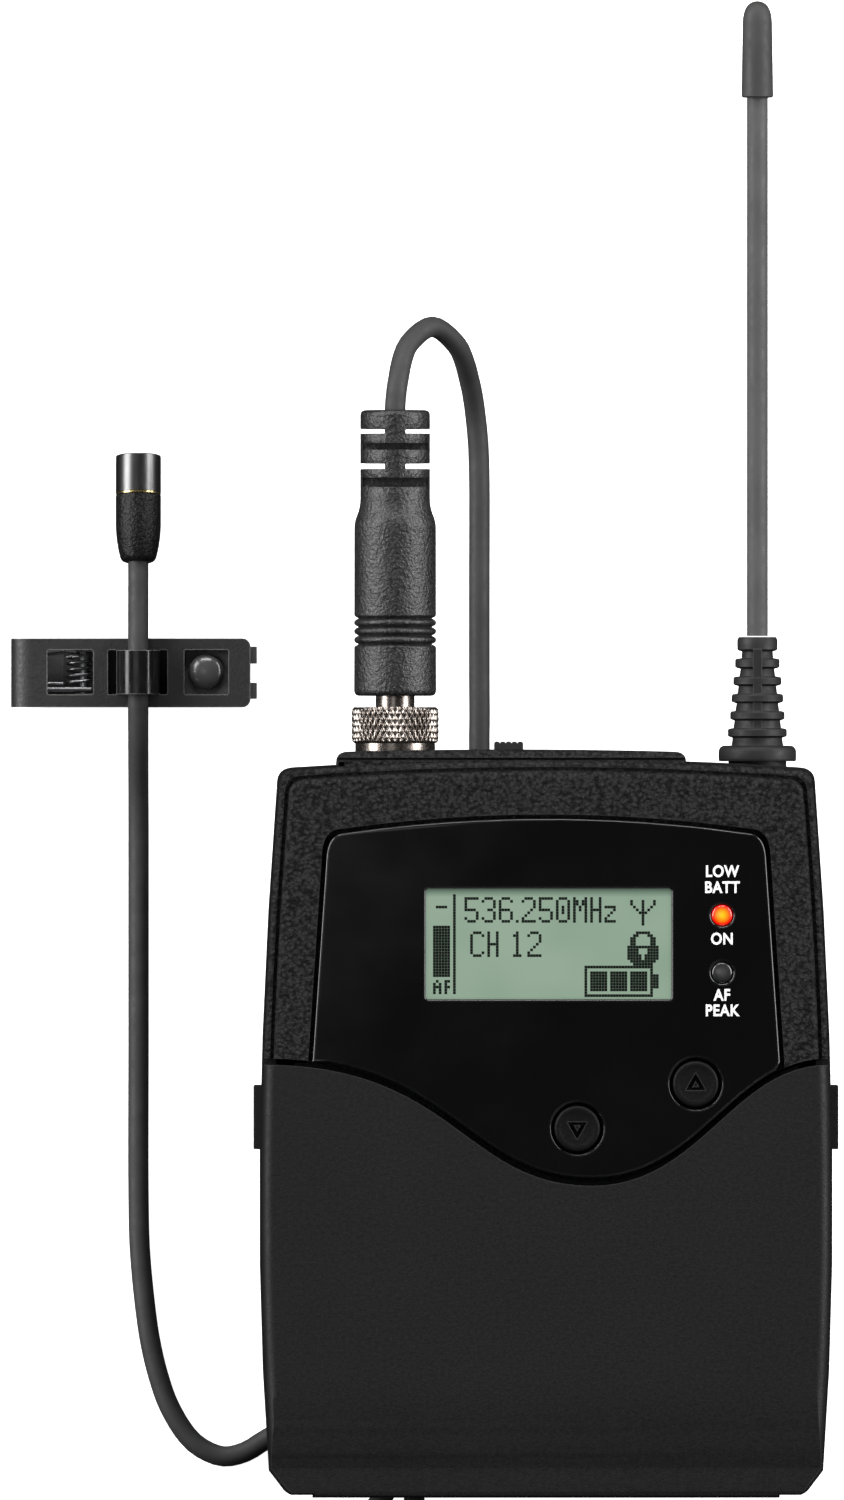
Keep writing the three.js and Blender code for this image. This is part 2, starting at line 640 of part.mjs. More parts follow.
function plugGrip() {
  const { low, high, radius, neck, web, core } = GRIP;
  const profile = [[0, low], [3.9, low], [radius, low + 0.6]];
  for (const y of GRIP_RIBS) {
    profile.push([radius, y - 0.25], [radius - 0.4, y - 0.15], [radius - 0.4, y + 0.15], [radius, y + 0.25]);
  }
  profile.push([radius, 65.6], [4.1, 67.4], [neck, 68.5], [neck, high], [0, high]);
  let grip = turned(profile, [JACK.x, AXIS_Z], 24);
  for (const side of [-1, 1]) {
    for (const [from, to] of SIDE_NOTCHES) {
      const x = [JACK.x + side * web, JACK.x + side * 6].sort((a, b) => a - b);
      grip = grip.subtract(block(x, [from, to], [AXIS_Z - 6, AXIS_Z + 6]));
    }
    for (const [from, to] of FRONT_SLOTS) {
      const z = [AXIS_Z + side * core, AXIS_Z + side * 6].sort((a, b) => a - b);
      grip = grip.subtract(block([JACK.x - 6, JACK.x + 6], [from, to], z));
    }
  }
  return grip;
}

part('plug_grip', LOOK.rubber, plugGrip());

// The microphone lies nose down, so that its round body rests on the surface.

function microphone(name, material, profile) {
  const points = profile.map(([radius, y]) => new THREE.Vector2(radius, y - MIC.nose));
  const body = new THREE.LatheGeometry(points, 20);
  body.rotateX(THREE.MathUtils.degToRad(MIC.tilt)).translate(MIC.x, MIC.nose, MIC.z);
  part(name, material, solid(body));
}

microphone('mic_cap', LOOK.dark, [[0, 69.9], [2.46, 69.9], [2.46, 73.6], [2.3, 73.8], [0, 73.8]]);
microphone('mic_ring', LOOK.gold, [[0, 69.35], [2.4, 69.35], [2.4, 69.7], [0, 69.7]]);
microphone('mic_body', LOOK.rubber, [[0, MIC.low], [1.5, MIC.low], [1.95, 62.3], [2.3, 64], [2.46, 65.9],
  [2.46, 69.15], [0, 69.15]]);

// The tie clip: a front plate with a loop for the cord, and a sprung rear jaw on a pin.

const FRONT_JAW = {
  right: -32.6,
  bend: -56.6,
  outer: -59.1,
  inner: -58.3,
  tip: 1.7,
  ear: { x: [-52.2, -49.8], y: [[46, 46.6], [53, 53.6]], low: 1, into: 0.2 },
  openings: [[-55.05, -50], [-48.35, -47.4], [-42.65, -41.8], [-39.9, -35.05]],
  openingY: [47.4, 52.3],
};
const PIN_BORE = 0.62;
const ALONG_JAW = [40, 60];

function clipFrontJaw() {
  const { right, bend, outer, inner, tip, ear, openings, openingY } = FRONT_JAW;
  const [z0, z1] = JAW.plate;
  const shape = new THREE.Shape();
  shape.moveTo(right, z0);
  shape.lineTo(right, z1);
  shape.lineTo(bend, z1);
  shape.quadraticCurveTo(outer, z1, outer, tip);
  shape.lineTo(inner, tip);
  shape.quadraticCurveTo(inner, z0, bend, z0);
  shape.closePath();
  const ears = ear.y.map((y) => block(ear.x, y, [ear.low, z0 + ear.into]));
  let jaw = joined([sideSection(shape, ...JAW.y), ...ears]);
  for (const x of openings) {
    jaw = jaw.subtract(block(x, openingY, [0, z1 + PAST]));
  }
  return jaw.subtract(bar('y', PIN_BORE, ...ALONG_JAW, [JAW.pivotX, JAW.pivotZ], 12));
}

part('clip_front_jaw', LOOK.matte, clipFrontJaw());

const REAR_JAW = {
  x: [-57.6, -32.9],
  y: [46.9, 52.7],
  z: [0.1, 0.7],
  ear: { x: [-52, -50], y: [[46.9, 47.5], [52.1, 52.7]], top: 2.9 },
  tooth: { x: [-33.9, -31.9], y: [[46.9, 48.7], [50.8, 52.7]], top: 3 },
  pad: { x: [-40.6, -34.4], y: [47.1, 52.5], top: 3 },
  dome: { centre: [-37.5, 49.9], steps: [[1.9, 3.7], [1.2, 4.3]] },
};

function clipRearJaw() {
  const { x, y, z, ear, tooth, pad, dome } = REAR_JAW;
  const [low] = z;
  const ears = ear.y.map((across) => block(ear.x, across, [low, ear.top]));
  const teeth = tooth.y.map((across) => block(tooth.x, across, [low, tooth.top]));
  const cushion = block(pad.x, pad.y, [low, pad.top]);
  const caps = dome.steps.map(([radius, top]) => bar('z', radius, low + z[1], top, dome.centre, 16));
  return joined([block(x, y, z), ...ears, ...teeth, cushion, ...caps])
    .subtract(bar('y', PIN_BORE, ...ALONG_JAW, [JAW.pivotX, JAW.pivotZ], 12));
}

part('clip_rear_jaw', LOOK.matte, clipRearJaw());
part('clip_pin', LOOK.steel, bar('y', 0.5, 46.1, 53.5, [JAW.pivotX, JAW.pivotZ], 12));
part('clip_spring', LOOK.steel, tube(helix(4, 0.88,
  (a, b, t) => [JAW.pivotX + a, 48.1 + 3.4 * t, JAW.pivotZ + b]), 0.2, 5, 44));

// The loop's inner and outer edges: half widths, crowns and the handles that round its shoulders.
const LOOP = {
  y: [47.4, 52.3],
  inner: { wide: 1.9, crown: 7.55, rise: 6.6, flat: 1.5 },
  outer: { wide: 2.35, crown: 8, rise: 7, flat: 1.6 },
};

function clipLoop() {
  const { inner, outer } = LOOP;
  const low = JAW.plate[1] + GAP;
  const arch = new THREE.Shape();
  const half = (edge, side) => [MIC.x + side * edge.wide, edge.rise, MIC.x + side * edge.flat, edge.crown];
  const back = (edge, side) => [MIC.x + side * edge.flat, edge.crown, MIC.x + side * edge.wide, edge.rise];
  arch.moveTo(MIC.x - inner.wide, low);
  arch.bezierCurveTo(...half(inner, -1), MIC.x, inner.crown);
  arch.bezierCurveTo(...back(inner, 1), MIC.x + inner.wide, low);
  arch.lineTo(MIC.x + outer.wide, low);
  arch.bezierCurveTo(...half(outer, 1), MIC.x, outer.crown);
  arch.bezierCurveTo(...back(outer, -1), MIC.x - outer.wide, low);
  arch.closePath();
  return sideSection(arch, ...LOOP.y, 8);
}

part('clip_loop', LOOK.gloss, clipLoop());

// The cord: from the plug down to the surface and under the case, a coil, and out to the microphone.

const PLUG_SIDE = [[-16.6, 79, 17], [-16.45, 80.8, 16.9], [-16.2, 82.4, 16.5], [-15.84, 84.2, 15.6],
  [-15.1, 86, 14.2], [-12.54, 87.95, 11.4], [-9.85, 86, 8.2], [-8.97, 84.2, 6.2], [-8.47, 82.4, 4.5],
  [-8.03, 80.4, 3], [-7.7, 78, 1.8], [-7.43, 75.2, 1.25], [-7.3, 71, 1.2], [-7.3, 60, 1.2], [-7.3, 50, 1.2],
  [-7.3, 43, 1.2], [-7.5, 39.5, 1.2], [-9.5, 35.8, 1.2], [-12.8, 31.6, 1.2], [-14.2, 27.5, 1.2],
  [-14.5, 22, 1.2], [-14.5, 10, 1.2], [-14.5, -20, 1.2],
  [-14.5, -36, 1.2], [-14.5, -39.5, 1.3], [-14.5, -48, 4.4], [-14.5, -56.5, 8.2], [-14.5, -61.6, 8.7]];
const MIC_SIDE = [
  [-31, -45.5, 1.8], [-26, -45.6, 1.5], [-21, -44.3, 1.2], [-17.6, -40.6, 1.2], [-18, -36, 1.2],
  [-21.6, -33, 1.2], [-26, -32.8, 1.2], [-30.7, -34.9, 1.2], [-33.2, -36.4, 1.2], [-35.6, -36.9, 1.2],
  [-38, -36, 1.2], [-39.6, -34.6, 1.2], [-41.6, -31.35, 1.2], [-42.8, -28, 1.2], [-43.7, -24.2, 1.2],
  [-44.3, -20, 1.2], [-44.85, -14, 1.2], [-45, -8, 1.2], [-45, 10, 1.2], [-45, 28, 1.2], [-45, 32, 1.25],
  [-45, 36.5, 2.1], [-45, 42.5, 4.6], [-45, 46.5, 5.7], [-45, 49.8, 5.8], [-45, 53, 5.7], [-45, 57, 4.9],
  [-45, 61.6, 4.35],
];

part('cord_plug_side', LOOK.rubber, tube(PLUG_SIDE, CORD.radius, CORD.sides, 80));
part('cord_mic_side', LOOK.rubber, tube(MIC_SIDE, CORD.radius, CORD.sides, 70));

// Where the cord comes into the coil and leaves it, and the strap that holds the turns together.
const COIL_PASS = { arrival: [12, 20], arrivalLow: 3.5, departure: 14, near: 14.8, far: 20, departureTop: 3 };
const TIE = { half: 3, outer: [-18.5, -7.3], inner: [-18, -7.75], thick: 0.4, slack: 0.25 };

function cordCoil() {
  const [x, y] = CORD.coil;
  const { arrival, arrivalLow, departure, near, far, departureTop } = COIL_PASS;
  const ring = bar('z', CORD.outer, CORD.low, CORD.high, [x, y], 32)
    .subtract(bar('z', CORD.inner, -PAST, CORD.high + PAST, [x, y], 24));
  const arriving = block([x + arrival[0], x + arrival[1]], [y, y + far], [arrivalLow, CORD.high + PAST]);
  const leaving = block([x - GAP, x + departure], [y + near, y + far], [-PAST, departureTop]);
  return ring.subtract(arriving).subtract(leaving);
}

part('cord_coil', LOOK.rubber, cordCoil());

function cordTie() {
  const [x, y] = CORD.coil;
  const { half, outer, inner, thick, slack } = TIE;
  const across = (pair) => pair.map((place) => x + place);
  const strap = block(across(outer), [y - half, y + half], [0, CORD.high + thick + slack]);
  return strap.subtract(block(across(inner), [y - half - PAST, y + half + PAST],
    [CORD.low - slack, CORD.high + slack]));
}

part('cord_tie', LOOK.rubber, cordTie());

export default group;
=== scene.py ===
"""Wireless bodypack transmitter with a clip-on microphone, seen from straight above.

Sizes are in millimetres, in the CAD frame: X across the case, Y towards the aerial,
Z out of the display. MM turns them into Blender's metres.
"""
import json
import math

import bmesh
import bpy
from mathutils import Matrix, Vector


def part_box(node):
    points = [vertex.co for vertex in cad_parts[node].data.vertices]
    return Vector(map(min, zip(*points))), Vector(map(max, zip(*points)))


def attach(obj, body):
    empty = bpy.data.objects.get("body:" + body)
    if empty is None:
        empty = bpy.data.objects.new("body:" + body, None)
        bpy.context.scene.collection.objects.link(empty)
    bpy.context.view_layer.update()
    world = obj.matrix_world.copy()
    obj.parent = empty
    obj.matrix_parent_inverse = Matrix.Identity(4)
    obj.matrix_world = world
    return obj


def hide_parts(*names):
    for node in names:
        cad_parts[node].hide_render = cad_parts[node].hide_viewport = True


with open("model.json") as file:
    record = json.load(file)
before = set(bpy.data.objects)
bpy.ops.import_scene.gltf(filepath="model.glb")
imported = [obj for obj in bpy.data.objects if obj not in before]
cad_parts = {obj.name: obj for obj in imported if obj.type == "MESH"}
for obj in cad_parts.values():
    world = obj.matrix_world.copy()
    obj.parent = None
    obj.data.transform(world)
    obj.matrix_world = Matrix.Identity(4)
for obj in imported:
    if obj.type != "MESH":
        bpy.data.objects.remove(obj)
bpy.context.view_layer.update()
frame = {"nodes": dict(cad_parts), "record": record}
MM = 0.001


def add_object(name, data):
    made = bpy.data.objects.new(name, data)
    bpy.context.collection.objects.link(made)
    return made


def mesh_object(name, bm):
    """A new object of the mesh that has been built, which is used up."""
    mesh = bpy.data.meshes.new(name)
    bm.to_mesh(mesh)
    bm.free()
    return add_object(name, mesh)


def drawn_mesh(name, curve):
    """The mesh of a curve or a text, with its bevels."""
    drawn = add_object(name, curve)
    mesh = bpy.data.meshes.new_from_object(drawn.evaluated_get(bpy.context.evaluated_depsgraph_get()))
    bpy.data.objects.remove(drawn)
    return mesh


# ---------------------------------------------------------------- camera

VIEW_CENTRE = (-13.64, 41.25)
VIEW_HEIGHT = 165.0
LENS = 800.0
SENSOR = 36.0
REFERENCE_Z = 22.0
NEAR, FAR = 0.05, 20


def add_camera():
    """Straight down, far away, so that parallel edges stay parallel as in the photograph."""
    distance = VIEW_HEIGHT * LENS / SENSOR + REFERENCE_Z
    data = bpy.data.cameras.new("camera")
    data.lens = LENS
    data.sensor_width = SENSOR
    data.clip_start, data.clip_end = NEAR, FAR
    camera = add_object("camera", data)
    camera.location = Vector((*VIEW_CENTRE, distance)) * MM
    bpy.context.scene.camera = camera


add_camera()


# ---------------------------------------------------------------- the cord's route

CORD_DIAMETER = 2.3
COIL_CENTRE = (-31.0, -62.0)
COIL_RADIUS = 13.07
COIL_FLOOR = 1.8
COIL_ACROSS = 4
COIL_LAYERS = 4

PLUG_SIDE = [
    (-16.6, 78.2, 17), (-16.6, 79, 17), (-16.45, 80.8, 16.9), (-16.2, 82.4, 16.5), (-15.84, 84.2, 15.6),
    (-15.1, 86, 14.2), (-12.54, 87.95, 11.4), (-9.85, 86, 8.2), (-8.97, 84.2, 6.2), (-8.47, 82.4, 4.5),
    (-8.03, 80.4, 3), (-7.7, 78, 1.8), (-7.43, 75.2, 1.25), (-7.3, 71, 1.2), (-7.3, 60, 1.2), (-7.3, 50, 1.2),
    (-7.3, 43, 1.2), (-7.5, 39.5, 1.2), (-9.5, 35.8, 1.2), (-12.8, 31.6, 1.2), (-14.2, 27.5, 1.2),
    (-14.5, 22, 1.2), (-14.5, 10, 1.2), (-14.5, -20, 1.2),
    (-14.5, -36, 1.2), (-14.5, -39.5, 1.3), (-14.5, -48, 4.4), (-14.5, -56.5, 8.2),
]
MIC_SIDE = [
    (-26, -45.6, 1.5), (-21, -44.3, 1.2), (-17.6, -40.6, 1.2), (-18, -36, 1.2), (-21.6, -33, 1.2),
    (-26, -32.8, 1.2), (-30.7, -34.9, 1.2), (-33.2, -36.4, 1.2), (-35.6, -36.9, 1.2), (-38, -36, 1.2),
    (-39.6, -34.6, 1.2), (-41.6, -31.35, 1.2), (-42.8, -28, 1.2), (-43.7, -24.2, 1.2), (-44.3, -20, 1.2),
    (-44.85, -14, 1.2), (-45, -8, 1.2), (-45, 10, 1.2), (-45, 28, 1.2), (-45, 32, 1.25), (-45, 36.5, 2.1),
    (-45, 42.5, 4.6), (-45, 46.5, 5.7), (-45, 49.8, 5.8), (-45, 53, 5.7), (-45, 57, 4.9), (-45, 62.6, 4.4),
]


def ease(t):
    t = min(max(t, 0.0), 1.0)
    return t * t * (3 - 2 * t)


def coil_points(per_turn=20, shift_share=0.2):
    """Clockwise turns, top layer first: each turn steps one place over in its last fifth."""
    slots = []
    for layer in range(COIL_LAYERS):
        columns = range(COIL_ACROSS)
        outward = layer % 2
        for column in (columns if outward else reversed(columns)):
            radius = COIL_RADIUS + (column - (COIL_ACROSS - 1) / 2) * CORD_DIAMETER
            slots.append((radius, COIL_FLOOR + (COIL_LAYERS - 1 - layer) * CORD_DIAMETER))
    turns = len(slots) - 0.25
    points = []
    for i in range(int(turns * per_turn) + 1):
        turn = i / per_turn
        index = min(int(turn), len(slots) - 1)
        following = slots[min(index + 1, len(slots) - 1)]
        share = ease((turn - index - 1 + shift_share) / shift_share)
        radius, height = (a + (b - a) * share for a, b in zip(slots[index], following))
        angle = -2 * math.pi * turn
        points.append((COIL_CENTRE[0] + radius * math.cos(angle),
                       COIL_CENTRE[1] + radius * math.sin(angle), height))
    return points


def smooth_route(points, spacing=0.9):
    """A centripetal Catmull-Rom curve through the points, as the CAD tubes follow."""
    knots = [Vector(p) for p in points]
    knots = [2 * knots[0] - knots[1]] + knots + [2 * knots[-1] - knots[-2]]
    route = []
    for p0, p1, p2, p3 in zip(knots, knots[1:], knots[2:], knots[3:]):
        d0, d1, d2 = ((b - a).length ** 0.5 for a, b in ((p0, p1), (p1, p2), (p2, p3)))
        m1 = (p1 - p0) / d0 - (p2 - p0) / (d0 + d1) + (p2 - p1) / d1
        m2 = (p2 - p1) / d1 - (p3 - p1) / (d1 + d2) + (p3 - p2) / d2
        m1, m2 = m1 * d1, m2 * d1
        steps = max(1, round((p2 - p1).length / spacing))
        for i in range(steps):
            t = i / steps
            route.append((2 * t ** 3 - 3 * t * t + 1) * p1 + (t ** 3 - 2 * t * t + t) * m1
                         + (3 * t * t - 2 * t ** 3) * p2 + (t ** 3 - t * t) * m2)
    route.append(knots[-2])
    return route


def tube_mesh(name, route, radius, sides=6):
    """A round wire through points in millimetres, as a mesh in metres."""
    curve = bpy.data.curves.new(name, "CURVE")
    curve.dimensions = "3D"
    curve.bevel_depth = radius * MM
    curve.bevel_resolution = sides
    curve.use_fill_caps = True
    spline = curve.splines.new("POLY")
    spline.points.add(len(route) - 1)
    for point, place in zip(spline.points, route):
        point.co = (*(Vector(place) * MM), 1)
    spline.use_smooth = True
    return add_object(name, drawn_mesh(name, curve))


cord_route = smooth_route(PLUG_SIDE + coil_points() + MIC_SIDE)


def add_cord():
    tube = tube_mesh("microphone_cord", cord_route, CORD_DIAMETER / 2)
    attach(tube, "case")
    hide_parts("cord_plug_side", "cord_coil", "cord_mic_side")
    return tube


cord = add_cord()


# ---------------------------------------------------------------- stage and light

FLOOR_Z = -0.35
FLOOR_SIZE = 3
LIT_POINT = (-10, 40, 15)
SIDE_POWER = 6.2
FILL_POWER = 4.0
SHEEN_POWER = 0.26
FOOT_POWER = 0.07
END_POWER = 1.5
WORLD_GREY = 0.5
WORLD_STRENGTH = 0.08


def add_floor():
    bm = bmesh.new()
    bmesh.ops.create_grid(bm, x_segments=1, y_segments=1, size=FLOOR_SIZE)
    floor = mesh_object("floor", bm)
    floor.location.z = FLOOR_Z * MM
    floor.visible_glossy = False
    floor.visible_diffuse = False
    paper = bpy.data.materials.new("white_paper")
    paper.use_nodes = True
    shader = paper.node_tree.nodes["Principled BSDF"]
    shader.inputs["Base Color"].default_value = (0.9, 0.9, 0.9, 1)
    shader.inputs["Roughness"].default_value = 0.9
    shader.inputs["Emission Color"].default_value = (1, 1, 1, 1)
    shader.inputs["Emission Strength"].default_value = 1.0
    floor.data.materials.append(paper)


def add_area(name, place, size, power):
    """A softbox at a place in millimetres, turned towards the object."""
    data = bpy.data.lights.new(name, "AREA")
    data.shape = "RECTANGLE"
    data.size, data.size_y = (side * MM for side in size)
    data.energy = power
    light = add_object(name, data)
    light.location = Vector(place) * MM
    light.rotation_euler = (Vector(LIT_POINT) - Vector(place)).to_track_quat("-Z", "Y").to_euler()
    light.visible_camera = False


def add_lights():
    add_area("left_softbox", (-570, 230, 290), (620, 300), SIDE_POWER)
    add_area("right_softbox", (550, 230, 290), (620, 300), SIDE_POWER)
    add_area("head_fill", (-60, 760, 380), (600, 160), FILL_POWER)
    add_area("sheen_card", (-190, 90, 900), (260, 320), SHEEN_POWER)
    add_area("foot_card", (-557, -340, 420), (60, 60), FOOT_POWER)
    add_area("end_fill", (0, -1100, 150), (700, 200), END_POWER)
    world = bpy.data.worlds.new("studio")
    world.use_nodes = True
    background = world.node_tree.nodes["Background"]
    background.inputs["Color"].default_value = (WORLD_GREY, WORLD_GREY, WORLD_GREY, 1)
    background.inputs["Strength"].default_value = WORLD_STRENGTH
    bpy.context.scene.world = world
    bpy.context.scene.view_settings.view_transform = "Standard"


add_floor()
add_lights()


# ---------------------------------------------------------------- materials

LAMP_X = 19.3
LAMP_ON_Y, LAMP_PEAK_Y = 23.1, 16.8
LAMP_TOP = 29.9


def rgb(text):
    """A hex colour as the linear numbers a shader takes."""
    channels = [int(text[i:i + 2], 16) / 255 for i in (0, 2, 4)]
    return tuple(c / 12.92 if c < 0.04045 else ((c + 0.055) / 1.055) ** 2.4 for c in channels) + (1,)


class Maker:
    """One material: a Principled shader and short calls that add what feeds it."""

    def __init__(self, name, colour, roughness, metallic=0.0, **sockets):
        self.material = bpy.data.materials.new(name)
        self.material.use_nodes = True
        self.tree = self.material.node_tree
        self.shader = self.tree.nodes["Principled BSDF"]
        self.shader.inputs["Base Color"].default_value = rgb(colour)
        self.shader.inputs["Roughness"].default_value = roughness
        self.shader.inputs["Metallic"].default_value = metallic
        for socket, value in sockets.items():
            self.shader.inputs[socket.replace("_", " ")].default_value = value
        self.place = self.node("ShaderNodeTexCoord").outputs["Object"]

    def node(self, kind, **settings):
        made = self.tree.nodes.new(kind)
        for name, value in settings.items():
            setattr(made, name, value)
        return made

    def link(self, source, target):
        self.tree.links.new(source, target)

    def along(self, axis, low, high):
        """0 below low and 1 above high, in metres along an axis."""
        axes = self.node("ShaderNodeSeparateXYZ")
        self.link(self.place, axes.inputs["Vector"])
        return self.spread(axes.outputs[axis], 0, 1, low, high)

    def stretched(self, factors):
        mapping = self.node("ShaderNodeMapping")
        mapping.inputs["Scale"].default_value = factors
        self.link(self.place, mapping.inputs["Vector"])
        return mapping.outputs["Vector"]

    def noise(self, size_mm, detail=3.0, place=None):
        """Noise whose blotches are about size_mm across."""
        texture = self.node("ShaderNodeTexNoise")
        texture.inputs["Scale"].default_value = 1000 / size_mm
        texture.inputs["Detail"].default_value = detail
        self.link(place or self.place, texture.inputs["Vector"])
        return texture.outputs["Fac"]

    def cells(self, size_mm, feature="F1"):
        texture = self.node("ShaderNodeTexVoronoi", feature=feature)
        texture.inputs["Scale"].default_value = 1000 / size_mm
        self.link(self.place, texture.inputs["Vector"])
        return texture.outputs["Distance"]

    def spread(self, value, low, high, from_low=0.3, from_high=0.7):
        """A value remapped to run from low to high."""
        remap = self.node("ShaderNodeMapRange")
        limits = {"From Min": from_low, "From Max": from_high, "To Min": low, "To Max": high}
        for name, number in limits.items():
            remap.inputs[name].default_value = number
        self.link(value, remap.inputs["Value"])
        return remap.outputs["Result"]

    def maths(self, operation, first, second):
        made = self.node("ShaderNodeMath", operation=operation)
        for socket, value in zip(made.inputs, (first, second)):
            if isinstance(value, (int, float)):
                socket.default_value = value
            else:
                self.link(value, socket)
        return made.outputs["Value"]

    def mixed(self, factor, first, second):
        """Colour from first to second as the factor goes from 0 to 1."""
        mix = self.node("ShaderNodeMix", data_type="RGBA")
        self.link(factor, mix.inputs["Factor"])
        for socket, colour in (("A", first), ("B", second)):
            target = next(i for i in mix.inputs if i.name == socket and i.type == "RGBA")
            if isinstance(colour, str):
                target.default_value = rgb(colour)
            else:
                self.link(colour, target)
        return next(o for o in mix.outputs if o.type == "RGBA")

    def patches(self, size_mm, first, second, detail=3.0):
        """Soft blotches of two colours."""
        return self.mixed(self.spread(self.noise(size_mm, detail), 0, 1), first, second)

    def edges(self, width_mm=0.25):
        """1 on sharp edges and 0 on flat ground, from how a rounded normal leans away."""
        bevel = self.node("ShaderNodeBevel", samples=4)
        bevel.inputs["Radius"].default_value = width_mm * MM
        plain = self.node("ShaderNodeNewGeometry").outputs["Normal"]
        dot = self.node("ShaderNodeVectorMath", operation="DOT_PRODUCT")
        self.link(bevel.outputs["Normal"], dot.inputs[0])
        self.link(plain, dot.inputs[1])
        return self.spread(dot.outputs["Value"], 1, 0, 0.8, 0.985)

    def colour(self, output):
        self.link(output, self.shader.inputs["Base Color"])

    def roughness(self, output):
        self.link(output, self.shader.inputs["Roughness"])

    def rough(self, size_mm, low, high, detail=3.0):
        """Roughness in soft blotches."""
        self.roughness(self.spread(self.noise(size_mm, detail), low, high))

    def bump(self, height, depth_mm, strength=1.0):
        bump = self.node("ShaderNodeBump")
        bump.inputs["Strength"].default_value = strength
        bump.inputs["Distance"].default_value = depth_mm * MM
        self.link(height, bump.inputs["Height"])
        before = self.shader.inputs["Normal"].links
        if before:
            self.link(before[0].from_socket, bump.inputs["Normal"])
        self.link(bump.outputs["Normal"], self.shader.inputs["Normal"])


def worn_and_highlit(make, base, dark, light, patch_mm):
    """Base colour with soft dark and light patches, and paler edges that are part rubbing and part painted
    highlight.
    """
    ground = make.patches(patch_mm, base, dark, 2)
    make.colour(make.mixed(make.edges(), ground, light))


def grained(name, dark, ground, light, size_mm, depth_mm, specular=0.5, smooth=0.4, rough=0.62):
    """Moulded leather grain: pebbles of about one size, with a painted highlight on their crowns and painted
    shade in the creases, and paler edges that are part rubbing and part painted highlight.
    """
    make = Maker(name, ground, 0.5, Specular_IOR_Level=specular)
    fine = make.noise(size_mm * 0.45, 2)
    pebbles = make.maths("ADD", make.cells(size_mm, "SMOOTH_F1"), make.maths("MULTIPLY", fine, 0.9))
    mottled = make.patches(9, ground, dark, 2)
    lit = make.mixed(make.spread(pebbles, 1, 0, 0.6, 1.1), mottled, light)
    make.colour(make.mixed(make.edges(), lit, light))
    make.rough(size_mm, smooth, rough)
    make.bump(pebbles, depth_mm, 1.0)
    return make.material


def matte_plastic(name="matte_plastic", base="111111", dark="0f0f0f", light="303030", fine=0.22,
                  specular=0.28):
    """Finely spark-eroded plastic."""
    make = Maker(name, base, 0.55, Specular_IOR_Level=specular)
    worn_and_highlit(make, base, dark, light, 14)
    make.rough(0.4, 0.46, 0.62)
    make.bump(make.noise(fine, 4), 0.05, 0.8)
    return make.material


def rubber(name="soft_rubber", base="171717", dark="121212", light="303030"):
    make = Maker(name, base, 0.62, Specular_IOR_Level=0.4)
    worn_and_highlit(make, base, dark, light, 6)
    make.rough(1.1, 0.52, 0.72)
    make.bump(make.noise(0.3, 4), 0.025, 0.6)
    return make.material


def cord_rubber():
    """Extruded jacket: matte, with faint draw lines and dust."""
    make = Maker("cord_jacket", "474747", 0.6, Specular_IOR_Level=0.35)
    make.colour(make.patches(3, "3b3b3b", "333333", 2))
    make.rough(0.8, 0.52, 0.7)
    make.bump(make.noise(0.25, 3), 0.015, 0.6)
    return make.material


def window_black():
    """Polished black window with the faintest orange peel and a few fine rubs; its paler edges are a painted
    highlight.
    """
    make = Maker("window_black", "060606", 0.09, Specular_IOR_Level=0.5)
    make.colour(make.mixed(make.edges(0.3), "060606", "6c6c6c"))
    make.rough(12, 0.06, 0.13, 4)
    make.bump(make.noise(6, 1), 0.004, 0.5)
    return make.material


def gloss_black(name="gloss_black", base="0b0b0b", light="5a5a5a", roughness=0.17, specular=0.6):
    make = Maker(name, base, roughness, Specular_IOR_Level=specular)
    # The paler edges are a painted highlight.
    make.colour(make.mixed(make.edges(0.15), base, light))
    make.rough(1.5, roughness * 0.7, roughness * 1.4)
    make.bump(make.noise(0.8, 3), 0.01, 0.5)
    return make.material


def display_glass():
    """The ground of the display between its dots, glowing faintly as painted light, and a little darker
    towards its top edge as a painted shadow.
    """
    make = Maker("display_glass", "2c332d", 0.3, Coat_Weight=0.3, Coat_Roughness=0.08, Specular_IOR_Level=0.3)
    # Painted shadow: the ground turns darker along its top edge.
    shade = make.along("Y", 25.1 * MM, 25.9 * MM)
    clear = make.patches(7, "a6bfa8", "9ab59f", 1)
    ground = make.mixed(shade, clear, "5f7565")
    # Painted light: the display's ground glows faintly.
    make.shader.inputs["Emission Strength"].default_value = 0.7
    make.link(ground, make.shader.inputs["Emission Color"])
    make.bump(make.noise(0.3, 2), 0.004, 0.4)
    return make.material


def lcd_ink():
    make = Maker("lcd_ink", "070c08", 0.5, Specular_IOR_Level=0.1)
    make.colour(make.patches(0.6, "060a07", "0c120e"))
    return make.material


def printed_white():
    make = Maker("printed_white", "f2f2f2", 0.5)
    make.colour(make.patches(0.3, "fbfbfb", "dcdcdc"))
    # Painted light: the print glows faintly so that it reads bright white.
    make.shader.inputs["Emission Color"].default_value = (1, 1, 1, 1)
    make.shader.inputs["Emission Strength"].default_value = 0.15
    make.bump(make.noise(0.2), 0.01, 0.4)
    return make.material


def metal(name, colour, roughness, line_axis=None, spots="8a8a86", relief=1.0):
    """Plated or drawn metal, with fine lines along one axis and a breath of tarnish."""
    make = Maker(name, colour, roughness, 1.0)
    factors = [1, 1, 1]
    if line_axis is not None:
        factors[line_axis] = 0.04
    lines = make.noise(0.18, 3, make.stretched(tuple(factors)))
    make.colour(make.mixed(make.spread(make.noise(2.5), 0, 0.6), colour, spots))
    make.roughness(make.spread(lines, roughness * (1 - 0.3 * relief), roughness * (1 + 0.5 * relief)))
    make.bump(lines, 0.01 * relief, 0.35)
    return make.material


